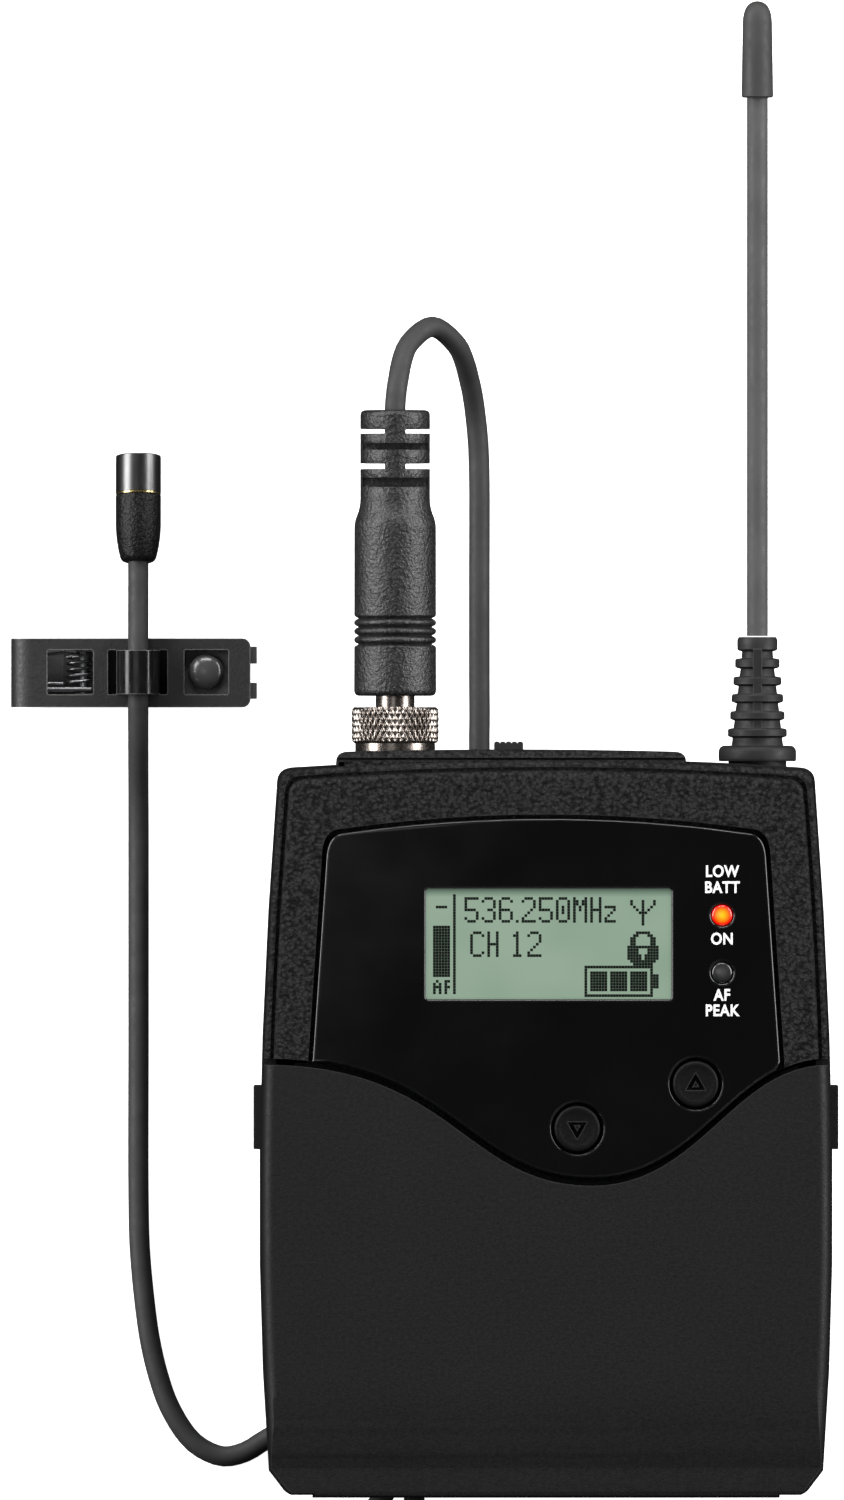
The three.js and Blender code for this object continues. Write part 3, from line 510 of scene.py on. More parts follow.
def circuit_board():
    """Green solder mask over copper tracks, with tinned pads."""
    make = Maker("circuit_board", "1d4a2c", 0.35, Coat_Weight=0.4, Coat_Roughness=0.15)
    tracks = make.spread(make.cells(2.2, "DISTANCE_TO_EDGE"), 1, 0, 0.02, 0.06)
    pads = make.spread(make.cells(1.9), 1, 0, 0.1, 0.13)
    make.colour(make.mixed(pads, make.mixed(tracks, "17402a", "2a6540"), "b9b9b0"))
    make.bump(tracks, 0.03, 0.6)
    make.rough(2, 0.25, 0.45)
    return make.material


def battery_wrap():
    """A cell's printed sleeve: black, with a copper band at one end."""
    make = Maker("battery_wrap", "1a1a1c", 0.3, Coat_Weight=0.5, Coat_Roughness=0.1)
    band = make.along("X", 0.0105, 0.0108)
    scuffs = make.patches(4, "1c1c1e", "121214")
    make.colour(make.mixed(band, scuffs, "5a3a22"))
    make.rough(3, 0.22, 0.4)
    make.bump(make.noise(5), 0.02, 0.3)
    return make.material


def lamp(name, centre_colour, rim_colour, centre, strength):
    """A lens that glows from its middle, at a centre given in millimetres."""
    make = Maker(name, rim_colour, 0.25, Coat_Weight=0.4, Coat_Roughness=0.1)
    offset = make.node("ShaderNodeVectorMath", operation="DISTANCE")
    make.link(make.place, offset.inputs[0])
    offset.inputs[1].default_value = Vector(centre) * MM
    glow = make.spread(offset.outputs["Value"], 1, 0, 0.15 * MM, 1.0 * MM)
    hue = make.mixed(glow, rim_colour, centre_colour)
    make.colour(hue)
    make.rough(0.6, 0.2, 0.35)
    make.shader.inputs["Emission Strength"].default_value = strength
    make.link(hue, make.shader.inputs["Emission Color"])
    return make.material


SHELL = matte_plastic()
REAR_SHELL = matte_plastic("rear_shell_plastic", light="181818")
# Near-black, for a painted shadow under the loop's slots.
PAINTED_SLOT_SHADOW = matte_plastic("slot_shadow_paint", "030303", "020202", "0c0c0c", 0.3, 0.1)
GRAINED = grained("grained_plastic", "060606", "050505", "2a2a2a", 0.4, 0.14, 0.12)
WINDOW_BLACK = window_black()
GLOSS = gloss_black()
DISPLAY = display_glass()
INK = lcd_ink()
WHITE = printed_white()
RUBBER = rubber()
MIC_RUBBER = grained("mic_rubber", "030303", "040404", "181818", 0.34, 0.08, 0.22, 0.3, 0.46)
GRAINED_RUBBER = grained("grained_rubber", "050505", "060606", "2a2a2a", 0.36, 0.08, 0.6, 0.34, 0.5)
JACKET = cord_rubber()
NICKEL = metal("nickel", "928a84", 0.24, None, "655e58")
STEEL = metal("spring_steel", "8f9194", 0.34, 1)
BLACK_STEEL = metal("blackened_steel", "8a8a8c", 0.34, None, "6a6a6c")
GOLD = metal("gold_plate", "c9b273", 0.22)
DARK_METAL = metal("anodised_cap", "626262", 0.31, 1, "5a5a5a", 0.2)
BOARD = circuit_board()
WRAP = battery_wrap()
# Painted light: the rear jaw is a pale grey so that its floor in the deep clip windows, which the side light
# does not reach, looks lit.
REAR_JAW = matte_plastic("rear_jaw_plastic", "545454", "484848", "707070", 0.3)
DOME = gloss_black("dome_plastic", "484848", "585858", 0.22)
BRIDGE = gloss_black("bridge_plastic", "121212", "a0a0a0", 0.2, 0.35)
CLIP_PLASTIC = matte_plastic("clip_plastic", "1a1a1a", "161616", "808080", 0.3, 0.65)
KEY_PLASTIC = matte_plastic("key_plastic", "0a0a0a", "080808", "3c3c3c", 0.2, 0.14)
AERIAL_RUBBER = rubber("aerial_jacket", "4c4c4c", "424242", "5c5c5c")
AERIAL_TIP = rubber("aerial_tip_rubber", "393939", "303030", "464646")
RED_LAMP = lamp("red_lamp", "ffa010", "e81000", (LAMP_X, LAMP_ON_Y, LAMP_TOP), 0.55)
GREY_LAMP = lamp("grey_lamp", "3c3c3c", "1c1c1c", (LAMP_X, LAMP_PEAK_Y, LAMP_TOP), 0.0)

MATERIALS_OF_SLOT = {
    "shell_plastic": [REAR_SHELL, SHELL, REAR_JAW, CLIP_PLASTIC, WHITE], "grained_plastic": [GRAINED],
    "window_black": [GLOSS, WINDOW_BLACK, DOME, BRIDGE, KEY_PLASTIC, INK], "display_glass": [DISPLAY],
    "rubber_black": [RUBBER, PAINTED_SLOT_SHADOW, MIC_RUBBER, GRAINED_RUBBER, JACKET, AERIAL_RUBBER, AERIAL_TIP],
    "nickel": [NICKEL], "spring_steel": [STEEL, BLACK_STEEL], "gold_plate": [GOLD],
    "dark_metal": [DARK_METAL],
    "circuit_board": [BOARD], "battery_wrap": [WRAP], "lamp_red": [RED_LAMP], "lamp_grey": [GREY_LAMP],
}


def wear(piece, material):
    """Gives a piece a material, in place of any that it had."""
    piece.data.materials.clear()
    piece.data.materials.append(material)


wear(cord, JACKET)


# ---------------------------------------------------------------- CAD nodes: materials and soft edges

def smooth_by_angle_group(degrees=32):
    """A modifier that shades smooth across shallow edges and keeps the sharp ones."""
    group = bpy.data.node_groups.new("smooth_by_angle", "GeometryNodeTree")
    for direction in ("INPUT", "OUTPUT"):
        group.interface.new_socket("Geometry", in_out=direction, socket_type="NodeSocketGeometry")
    enter = group.nodes.new("NodeGroupInput")
    leave = group.nodes.new("NodeGroupOutput")
    angle = group.nodes.new("GeometryNodeInputMeshEdgeAngle")
    shallow = group.nodes.new("FunctionNodeCompare")
    shallow.operation = "LESS_THAN"
    shallow.inputs[1].default_value = math.radians(degrees)
    faces, edges = (group.nodes.new("GeometryNodeSetShadeSmooth") for _ in range(2))
    faces.domain, edges.domain = "FACE", "EDGE"
    for source, target in ((enter.outputs[0], faces.inputs["Geometry"]),
                           (faces.outputs[0], edges.inputs["Geometry"]),
                           (angle.outputs["Unsigned Angle"], shallow.inputs[0]),
                           (shallow.outputs[0], edges.inputs["Shade Smooth"]),
                           (edges.outputs[0], leave.inputs[0])):
        group.links.new(source, target)
    return group


SMOOTH = smooth_by_angle_group()


def soften(piece, width_mm):
    """Small rounded edges and smooth shading, as modifiers."""
    if width_mm:
        bevel = piece.modifiers.new("edge", "BEVEL")
        bevel.width = width_mm * MM
        bevel.segments = 2
        bevel.limit_method = "ANGLE"
        bevel.angle_limit = math.radians(35)
    shade = piece.modifiers.new("shade", "NODES")
    shade.node_group = SMOOTH
    weighted = piece.modifiers.new("flat_faces_first", "WEIGHTED_NORMAL")
    weighted.keep_sharp = True


def dress_cad_nodes():
    slots = {entry["node"]: entry["material_slot"] for entry in frame["record"]["subparts"]}
    for name, piece in frame["nodes"].items():
        piece.data.materials.clear()
        piece.data.materials.append(MATERIALS_OF_SLOT[slots[name]][0])
        soften(piece, 0 if "spring" in name else 0.1)


dress_cad_nodes()


# ---------------------------------------------------------------- building pieces

def finish_mesh(name, bm):
    """A piece of a mesh drawn in millimetres."""
    bmesh.ops.remove_doubles(bm, verts=bm.verts, dist=1e-4)
    bmesh.ops.recalc_face_normals(bm, faces=bm.faces)
    bmesh.ops.scale(bm, vec=(MM,) * 3, verts=bm.verts)
    return mesh_object(name, bm)


def settle(piece, body, material, *nodes, edge=0.0):
    """The last step for a piece: soft edges, its body, its finish and the CAD nodes that it stands for."""
    soften(piece, edge)
    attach(piece, body)
    wear(piece, material)
    if nodes:
        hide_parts(*nodes)
    return piece


def quad(start, control, end, steps=10):
    """Points along a quadratic curve, without its first."""
    a, b, c = Vector(start), Vector(control), Vector(end)
    shares = [i / steps for i in range(1, steps + 1)]
    return [tuple((1 - t) ** 2 * a + 2 * t * (1 - t) * b + t * t * c) for t in shares]


def cubic(a, b, c, d, steps=24):
    a, b, c, d = map(Vector, (a, b, c, d))
    points = []
    for i in range(1, steps + 1):
        t = i / steps
        u = 1 - t
        points.append(tuple(u ** 3 * a + 3 * u * u * t * b + 3 * u * t * t * c + t ** 3 * d))
    return points


def circle(centre, radius, steps=64):
    return [(centre[0] + radius * math.cos(2 * math.pi * i / steps),
             centre[1] + radius * math.sin(2 * math.pi * i / steps)) for i in range(steps)]


def rounded_rectangle(x0, x1, y0, y1, radius, steps=6):
    corners = [((x1 - radius, y0 + radius), -90), ((x1 - radius, y1 - radius), 0),
               ((x0 + radius, y1 - radius), 90), ((x0 + radius, y0 + radius), 180)]
    points = []
    for (cx, cy), start in corners:
        for i in range(steps + 1):
            angle = math.radians(start + 90 * i / steps)
            points.append((cx + radius * math.cos(angle), cy + radius * math.sin(angle)))
    return points


def slab(name, outlines, low, high, edge, steps=3):
    """A plate between two heights with rounded edges; outlines inside the first are holes."""
    curve = bpy.data.curves.new(name, "CURVE")
    curve.dimensions = "2D"
    curve.fill_mode = "BOTH"
    curve.extrude = (high - low) / 2 - edge
    curve.bevel_depth = edge
    curve.bevel_resolution = steps
    curve.offset = -edge
    for outline in outlines:
        spline = curve.splines.new("POLY")
        spline.points.add(len(outline) - 1)
        for point, (x, y) in zip(spline.points, outline):
            point.co = (x, y, 0, 1)
        spline.use_cyclic_u = True
    bm = bmesh.new()
    bm.from_mesh(drawn_mesh(name, curve))
    bmesh.ops.translate(bm, vec=(0, 0, (low + high) / 2), verts=bm.verts)
    return finish_mesh(name, bm)


def join_flat_faces(piece):
    """Makes one face of each flat area, since thin triangles tilt the shading beside rounded edges."""
    bm = bmesh.new()
    bm.from_mesh(piece.data)
    bmesh.ops.dissolve_limit(bm, angle_limit=math.radians(0.5), verts=bm.verts, edges=bm.edges)
    bm.to_mesh(piece.data)
    bm.free()


def arc(x, y, across, up, steps):
    """A quarter of an ellipse about (x, y), from its side to its top, without its first point."""
    angles = [math.pi / 2 * i / steps for i in range(1, steps + 1)]
    return [(x + across * math.cos(a), y + up * math.sin(a)) for a in angles]


def prism(name, outline, low, high, axis="z"):
    """A plain prism of a 2D outline: (x, y) for z, (y, z) for x, (x, z) for y."""
    bm = bmesh.new()

    def at(point, height):
        first, second = point
        places = {"z": (first, second, height), "x": (height, first, second), "y": (first, height, second)}
        return places[axis]

    rings = [[bm.verts.new(at(point, height)) for point in outline] for height in (low, high)]
    bm.faces.new(rings[0])
    bm.faces.new(rings[1])
    for i in range(len(outline)):
        j = (i + 1) % len(outline)
        bm.faces.new((rings[0][i], rings[0][j], rings[1][j], rings[1][i]))
    return finish_mesh(name, bm)


def box_piece(name, x, y, z):
    return prism(name, [(x[0], y[0]), (x[1], y[0]), (x[1], y[1]), (x[0], y[1])], *z)


def lathe(name, profile, axis="y", centre=(0, 0), steps=72):
    """A profile of (radius, distance along the axis) pairs turned about a line along x, y or z."""
    bm = bmesh.new()
    rings = []
    for radius, along in profile:
        ring = []
        for i in range(steps if radius > 1e-6 else 1):
            angle = 2 * math.pi * i / steps
            a, b = centre[0] + radius * math.cos(angle), centre[1] + radius * math.sin(angle)
            ring.append(bm.verts.new({"y": (a, along, b), "z": (a, b, along), "x": (along, a, b)}[axis]))
        rings.append(ring)
    for low, high in zip(rings, rings[1:]):
        for i in range(steps):
            j = (i + 1) % steps
            corners = [low[i % len(low)], low[j % len(low)], high[j % len(high)], high[i % len(high)]]
            corners = list(dict.fromkeys(corners))
            if len(corners) > 2:
                bm.faces.new(corners)
    for ring in (rings[0], rings[-1]):
        if len(ring) > 1 and profile[0] != profile[-1]:
            bm.faces.new(ring)
    return finish_mesh(name, bm)


def round_bar(name, radius, low, high, axis, centre, steps=72):
    return lathe(name, [(0, low), (radius, low), (radius, high), (0, high)], axis, centre, steps)


def combine(piece, operation, others):
    """One boolean after another with other pieces, which are used up."""
    for other in others:
        boolean = piece.modifiers.new("combine", "BOOLEAN")
        boolean.operation = operation
        boolean.solver = "EXACT"
        boolean.object = other
        depsgraph = bpy.context.evaluated_depsgraph_get()
        mesh = bpy.data.meshes.new_from_object(piece.evaluated_get(depsgraph))
        piece.modifiers.clear()
        piece.data = mesh
        bpy.data.objects.remove(other)
    return piece


def cut(piece, *others):
    return combine(piece, "DIFFERENCE", others)


def keep(piece, *others):
    return combine(piece, "INTERSECT", others)


def join(piece, *others):
    return combine(piece, "UNION", others)


def merged(name, pieces):
    """Several meshes as one object, without cutting them."""
    bm = bmesh.new()
    for piece in pieces:
        bm.from_mesh(piece.data)
        bpy.data.objects.remove(piece)
    return mesh_object(name, bm)


# ---------------------------------------------------------------- outlines of the case

PARTING_Z = 22.3
HINGE = (-37.4, 25.9)
WINDOW_FOOT = -12.0
KEY_UP, KEY_DOWN = (16.4, 4.6), (3.4, -0.3)


def case_outline(inset):
    """The case from the front, as part.mjs draws it, drawn in by inset."""
    flat, round_, chamfer = (26, -41), (28.2, -41), (28.9, -40.1)
    low, bulge, high = (30.5, -38), (32.95, -6), (29.6, 37.8)
    corner, end, crown = (29.5, 39.2), (28, 39.35), (0, 41.3)

    def inwards(point):
        return (point[0] - inset, point[1] - math.copysign(inset, point[1]))

    flat, round_, chamfer, low, bulge, high, corner, end = map(
        inwards, (flat, round_, chamfer, low, bulge, high, corner, end))
    right = [flat] + quad(flat, round_, chamfer, 6)
    right += [low] + quad(low, bulge, high, 24) + quad(high, corner, end, 8)
    right += quad(end, (0, crown[1] - inset), (-end[0], end[1]), 24)[:12]
    return right + [(-x, y) for x, y in reversed(right[:-1])]


def wave(rise, reach=31.0):
    """The battery cover's upper edge from right to left."""
    top, dip = 7.4 + rise, -5.9 + rise
    points = [(reach, top)] + cubic((31, top), (20.5, top), (17, dip), (5, dip))
    return points + cubic((5, dip), (-9, dip), (-10, top), (-31, top)) + [(-reach, top)]


def below_wave(rise, corner):
    """All below the wave, less the two bottom corners that the cover leaves to the case."""
    x, y = corner
    return [(-36, y), (-x, y), (-x, -60), (x, -60), (x, y), (36, y)] + wave(rise, 36)


def window_outline(grow):
    """The display window, open at its foot, grown by a distance."""
    low, high, round_ = (25.7 + grow, 7.0), (24.05 + grow, 31.3 + grow), 2.0
    corner = (high[0] - round_, high[1] + 0.85)
    right = [(low[0], WINDOW_FOOT), low, (high[0] + 0.13, high[1] - round_)]
    right += quad(right[-1], (high[0], corner[1] - 0.05), corner, 8)
    crown = quad(corner, (0, 35.3 + grow), (-corner[0], corner[1]), 24)
    return right + crown[:-1] + [(-x, y) for x, y in reversed(right)]


# ---------------------------------------------------------------- case, frame and cover

def cut_at_parting(shell):
    return cut(shell, box_piece("below", (-40, 40), (-50, 50), (10, PARTING_Z)))


def make_front_frame():
    """A smooth low lip, a groove, and the raised grained front with the window's opening."""
    front, edge, wall = 28.9, 0.55, 1.6
    shell = cut_at_parting(slab("grained_frame", [case_outline(0.3)], PARTING_Z - edge, front, edge, 5))
    cut(shell, slab("hollow", [case_outline(1.9)], 15, front - wall, 0.4))
    cut(shell, slab("groove", [case_outline(0.95), case_outline(1.5)], 28.5, 31, 0.05))
    join(shell, slab("raised", [case_outline(1.35)], 27.6, 29.6, 0.6, 5),
         slab("ledge", [window_outline(1.3), window_outline(-1)], 26.6, 28.3, 0.1))
    for x, y in ((26.2, 33), (27, 10.8)):
        for side in (-1, 1):
            join(shell, round_bar("post", 2.1, PARTING_Z, 28.2, "z", (side * x, y), 32))
    cut(shell, prism("window", window_outline(0.45), 27.7, 31))
    cut(shell, prism("opening", window_outline(-1), 20, 31))
    cut(shell, prism("cover_side", [(-36, -60), (36, -60)] + wave(0, 36), 20, 31))
    cut(shell, box_piece("panel_pocket", (-23.4, 15.7), (38.9, 45), (9, 26.3)))
    return settle(shell, "case", GRAINED, "front_frame", edge=0.3)


def cover_profile():
    """The cover's section in Y and Z: flat, rolled down to a ledge, and round the bottom edge."""
    points = [(12, 20), (12, 30), (-28, 30)]
    points += quad((-28, 30), (-34.8, 30), (-37.4, 28.75), 12)
    points += quad((-37.4, 28.75), (-37.6, 28.67), (-38.6, 28.65), 5)
    points += [(-40.1, 28.6)] + quad((-40.1, 28.6), (-41, 28.5), (-41, 25.9), 8)
    points += quad((-41, 25.9), (-41, PARTING_Z), (-37.4, PARTING_Z), 10)
    return points + [(-34, 20)]


def make_battery_cover():
    """A rolled lid with a hollow, a bore for its pin, and room for the two lugs."""
    shell = cut_at_parting(slab("battery_door", [case_outline(0.3)], 21, 30, 1.3, 5))
    keep(shell, prism("rolled", cover_profile(), -40, 40, "x"))
    keep(shell, prism("cover_side", below_wave(-0.7, (25.4, -40.35)), 20, 31))
    cut(shell, round_bar("bore", 0.95, -40, 40, "x", HINGE))
    inside = slab("hollow", [case_outline(1.9)], 15, 28.4, 0.4)
    cut(inside, box_piece("hinge_side", (-40, 40), (-50, -33.6), (10, 31)))
    cut(shell, inside)
    for side in (-1, 1):
        near, far = sorted((side * 25.4, side * 40))
        cut(shell, box_piece("lug", (near, far), (-50, -33.9), (20, 28.1)))
        cut(shell, round_bar("ear", 2.5, near, far, "x", HINGE))
    return settle(shell, "cover", SHELL, "battery_cover", edge=0.28)


def make_display_panel():
    """The gloss window down to the wave, with holes for the keys, the lamps and the display."""
    half = 25.7
    rim = [p for p in window_outline(0) if p[1] > WINDOW_FOOT + 2]
    bottom = [p for p in reversed(wave(0.15, half)) if abs(p[0]) < half]
    holes = [circle(KEY_UP, 2.82), circle(KEY_DOWN, 2.82), circle((LAMP_X, LAMP_ON_Y), 1.2, 32),
             circle((LAMP_X, LAMP_PEAK_Y), 1.2, 32), rounded_rectangle(-13.2, 13.7, 13.9, 26, 0.25)]
    panel = slab("display_window", [rim + bottom] + holes, 28, 29.6, 0.26, 4)
    join_flat_faces(panel)
    return settle(panel, "case", WINDOW_BLACK, "display_panel")


make_front_frame()
make_battery_cover()
make_display_panel()


# ---------------------------------------------------------------- display, labels, lamps and keys

DOT_PITCH = 0.3137
DOT_Z, LABEL_Z = 29.32, 29.61
LABEL_HEIGHT = 1.27
DOT_ORIGIN = (-12.28, 24.95)
GLYPHS = {
    "0": ".###. #...# #...# #.#.# #.#.# #.#.# #...# #...# .###.",
    "1": "..#.. .##.. ..#.. ..#.. ..#.. ..#.. ..#.. ..#.. .###.",
    "2": ".###. #...# ....# ....# ...#. ..#.. .#... #.... #####",
    "3": ".###. #...# ....# ....# ..##. ....# ....# #...# .###.",
    "5": "##### #.... #.... #.... ####. ....# ....# #...# .###.",
    "6": ".###. #...# #.... #.... ####. #...# #...# #...# .###.",
    ".": ". . . . . . . . #",
    "M": "#...# ##.## ##.## #.#.# #.#.# #...# #...# #...# #...#",
    "H": "#..# #..# #..# #..# #### #..# #..# #..# #..#",
    "z": ".... .... .... #### ...# ..#. .#.. #... ####",
    "C": ".###. #...# #.... #.... #.... #.... #.... #...# .###.",
    "A": ".#. #.# ### #.# #.#",
    "F": "## #. ## #. #.",
    "aerial": "#...#...# #...#...# .#..#..#. ..#.#.#.. ...###... ....#.... ....#.... ....#.... ....#....",
    "lock": "...#####... ..##...##.. .##.....##. .##.....##. .##.....##. ########### ####...#### "
            "####...#### #####.##### #####.##### .#########. ..#######..",
}


def glyph_dots(name, column, row):
    return [(column + i, row + j) for j, line in enumerate(GLYPHS[name].split())
            for i, mark in enumerate(line) if mark == "#"]


def filled(columns, rows):
    return [(i, j) for i in range(*columns) for j in range(*rows)]


def word_dots(word, column, row):
    dots = []
    for letter in word:
        dots += glyph_dots(letter, column, row)
        column += GLYPHS[letter].index(" ") + 1
    return dots


def display_dots():
    dots = filled((1, 5), (3, 4)) + filled((0, 6), (10, 28)) + filled((7, 8), (-1, 34))
    dots += glyph_dots("A", 0, 29) + glyph_dots("F", 4, 29)
    dots += word_dots("536.250MHz", 11, 0) + glyph_dots("aerial", 69, 1)
    dots += word_dots("CH", 13, 12) + word_dots("12", 27, 12) + glyph_dots("lock", 68, 12)
    left, right, top, bottom = 53, 76, 24, 34
    dots += filled((left, right + 1), (top, top + 1)) + filled((left, right + 1), (bottom, bottom + 1))
    dots += filled((left, left + 1), (top, bottom)) + filled((right, right + 1), (top, bottom))
    for cell in range(3):
        start = left + 2 + 7 * cell
        dots += filled((start, start + 6), (top + 2, bottom - 1))
    return sorted(set(dots + filled((right + 1, right + 3), (top + 3, bottom - 2))))


def make_display():
    ground = slab("display_ground", [rounded_rectangle(-13.05, 13.55, 14.05, 25.85, 0.2)], 28.4, 29.3, 0.05)
    settle(ground, "case", DISPLAY, "lcd_window")
    bm = bmesh.new()
    half = DOT_PITCH * 0.48
    for column, row in display_dots():
        x, y = DOT_ORIGIN[0] + column * DOT_PITCH, DOT_ORIGIN[1] - row * DOT_PITCH
        corners = [(x - half, y - half), (x + half, y - half), (x + half, y + half), (x - half, y + half)]
        bm.faces.new([bm.verts.new((*corner, DOT_Z)) for corner in corners])
    bmesh.ops.scale(bm, vec=(MM,) * 3, verts=bm.verts)
    dots = mesh_object("display_dots", bm)
    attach(dots, "case")
    wear(dots, INK)


def make_label(name, words, y):
    """Thin raised words over or under a lamp."""
    curve = bpy.data.curves.new(name, "FONT")
    curve.body = words
    curve.align_x = "CENTER"
    curve.align_y = "CENTER"
    curve.size = LABEL_HEIGHT * 1.38
    curve.offset = 0.05
    curve.space_character = 1.08
    curve.extrude = 0.01
    mesh = drawn_mesh(name, curve)
    place = Matrix.Translation(Vector((LAMP_X, y, LABEL_Z)) * MM)
    mesh.transform(place @ Matrix.Diagonal((MM * 0.86, MM, MM, 1)))
    label = add_object(name, mesh)
    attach(label, "case")
    wear(label, WHITE)


def make_lamp(name, y, material, node):
    profile = [(0, 24.1), (1.12, 24.1), (1.12, 29.5)] + arc(0, 29.5, 1.12, 0.28, 8)
    settle(lathe(name, profile, "z", (LAMP_X, y), 48), "case", material, node)


def key_profile(radius, flange, low, ledge, top):
    profile = [(0, low), (flange, low), (flange, ledge), (radius, ledge), (radius, top - 0.3)]
    profile += arc(radius - 0.3, top - 0.3, 0.3, 0.3, 6)
    profile += [(radius - 0.45, top), (radius - 0.65, top - 0.06), (radius - 0.85, top - 0.1)]
    return profile + [(0, top - 0.1)]


def make_front_key(name, centre, point, body, node):
    """A round key with an engraved triangle that points up or down."""
    x, y = centre
    key = lathe(name, key_profile(2.5, 3.5, 26.4, 27.7, 29.9), "z", (x, y), 64)
    outer = [(x - 1.1, y - 0.7 * point), (x + 1.1, y - 0.7 * point), (x, y + 1.2 * point)]
    inner = [(x + (a - x) * 0.36, y + (b - y) * 0.36 - 0.1 * point) for a, b in outer]
    groove = prism("groove", outer, 29.2, 31)
    cut(groove, prism("island", inner, 29, 29.66))
    cut(key, groove)
    settle(key, body, KEY_PLASTIC, node)


def make_inner_key(name, node, body):
    low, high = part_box(node)
    x, y = (low.x + high.x) / 2 / MM, (low.y + high.y) / 2 / MM
    profile = key_profile(2.2, 2.9, 22.8, 24.1, 27.5)
    settle(lathe(name, profile, "z", (x, y), 64), body, RUBBER, node)


make_display()
make_label("label_low", "LOW", 27.88)
make_label("label_batt", "BATT", 26.12)
make_label("label_on", "ON", 20.47)
make_label("label_af", "AF", 14.3)
make_label("label_peak", "PEAK", 12.6)
make_lamp("lamp_on", LAMP_ON_Y, RED_LAMP, "led_on")
make_lamp("lamp_peak", LAMP_PEAK_Y, GREY_LAMP, "led_peak")
make_front_key("key_up", KEY_UP, 1, "up_key", "up_button")
make_front_key("key_down", KEY_DOWN, -1, "down_key", "down_button")
make_inner_key("key_set", "set_button", "set_key")
make_inner_key("key_power", "power_button", "power_key")


# ---------------------------------------------------------------- plug, ring and grip

AXIS_Z = 17.0
JACK_X = -16.6
JACK = (JACK_X, AXIS_Z)


def knurled_ring():
    """A nut with a diamond knurl, chamfered at both ends, over a thread bore."""
    radius, low, high, depth = 4.8, 42.0, 45.98, 0.2
    around, along, teeth, rows = 396, 48, 44, 3

    def groove(value):
        return abs(2 * (value - math.floor(value)) - 1)

    bm = bmesh.new()
    rings = []
    profile = [(3.2, low), (4.5, low)]
    profile += [(radius, low + 0.25 + (high - low - 0.5) * i / along) for i in range(along + 1)]
    profile += [(4.5, high), (2.4, high), (2.4, 44.7), (3.2, 44.7)]
    for base, y in profile:
        ring = []
        for i in range(around):
            share = i / around
            reach = base
            if base == radius:
                rise = rows * (y - low) / (high - low)
                ridge = min(groove(teeth * share + rise), groove(teeth * share - rise))
                reach -= depth * (1 - min(1, 1.3 * ridge))
            angle = 2 * math.pi * share
            ring.append(bm.verts.new((JACK_X + reach * math.cos(angle), y, AXIS_Z + reach * math.sin(angle))))
        rings.append(ring)
    for a, b in zip(rings, rings[1:] + rings[:1]):
        for i in range(around):
            j = (i + 1) % around
            bm.faces.new((a[i], a[j], b[j], b[i]))
    return finish_mesh("knurled_ring", bm)


def make_plug():
    settle(knurled_ring(), "lock_ring", NICKEL, "lock_ring")
    nut = [(3.2, 41.0), (4.35, 41.0), (4.4, 41.05), (4.4, 42.0), (4.35, 42.05), (3.2, 42.05), (3.2, 41.0)]
    settle(lathe("socket_nut", nut, "y", JACK), "case", NICKEL, "jack_nut")
    settle(round_bar("plug_collar", 2.15, 44.9, 47.4, "y", JACK), "case", NICKEL, "plug_sleeve")
    profile = [(0, 47.2), (3.9, 47.2)] + quad((3.9, 47.2), (4.53, 47.2), (4.53, 47.9), 5)
    first, pitch, grooves = 52.9, 0.95, 4
    for i in range(-3, 8 * (grooves - 1) + 4):
        share = i / 8
        dent = (1 - abs(math.sin(math.pi * share))) ** 1.5
        profile.append((4.52 - 0.5 * dent, first + pitch * share))
    profile += [(4.5, 65.6)] + quad((4.5, 65.6), (4.5, 66.4), (4.2, 67.1), 5)
    profile += quad((4.2, 67.1), (3.86, 67.9), (3.84, 68.9), 5) + [(3.84, 78.1)]
    profile += quad((3.84, 78.1), (3.84, 78.7), (3.2, 78.7), 5) + [(0, 78.7)]
    grip = lathe("plug_body", profile, "y", JACK, 96)
    for side in (-1, 1):
        for low, high in ((72.2, 72.8), (76.1, 76.6)):
            near, far = sorted((JACK_X + side * 1.15, JACK_X + side * 6))
            cut(grip, box_piece("notch", (near, far), (low, high), (10, 24)))
        for low, high in ((70.2, 71.2), (74.3, 75)):
            near, far = sorted((AXIS_Z + side * 1.5, AXIS_Z + side * 6))
            cut(grip, box_piece("slot", (JACK_X - 6, JACK_X + 6), (low, high), (near, far)))
    settle(grip, "case", GRAINED_RUBBER, "plug_grip", edge=0.08)


make_plug()


# ---------------------------------------------------------------- aerial

AERIAL_X = 23.3
AERIAL = (AERIAL_X, AXIS_Z)


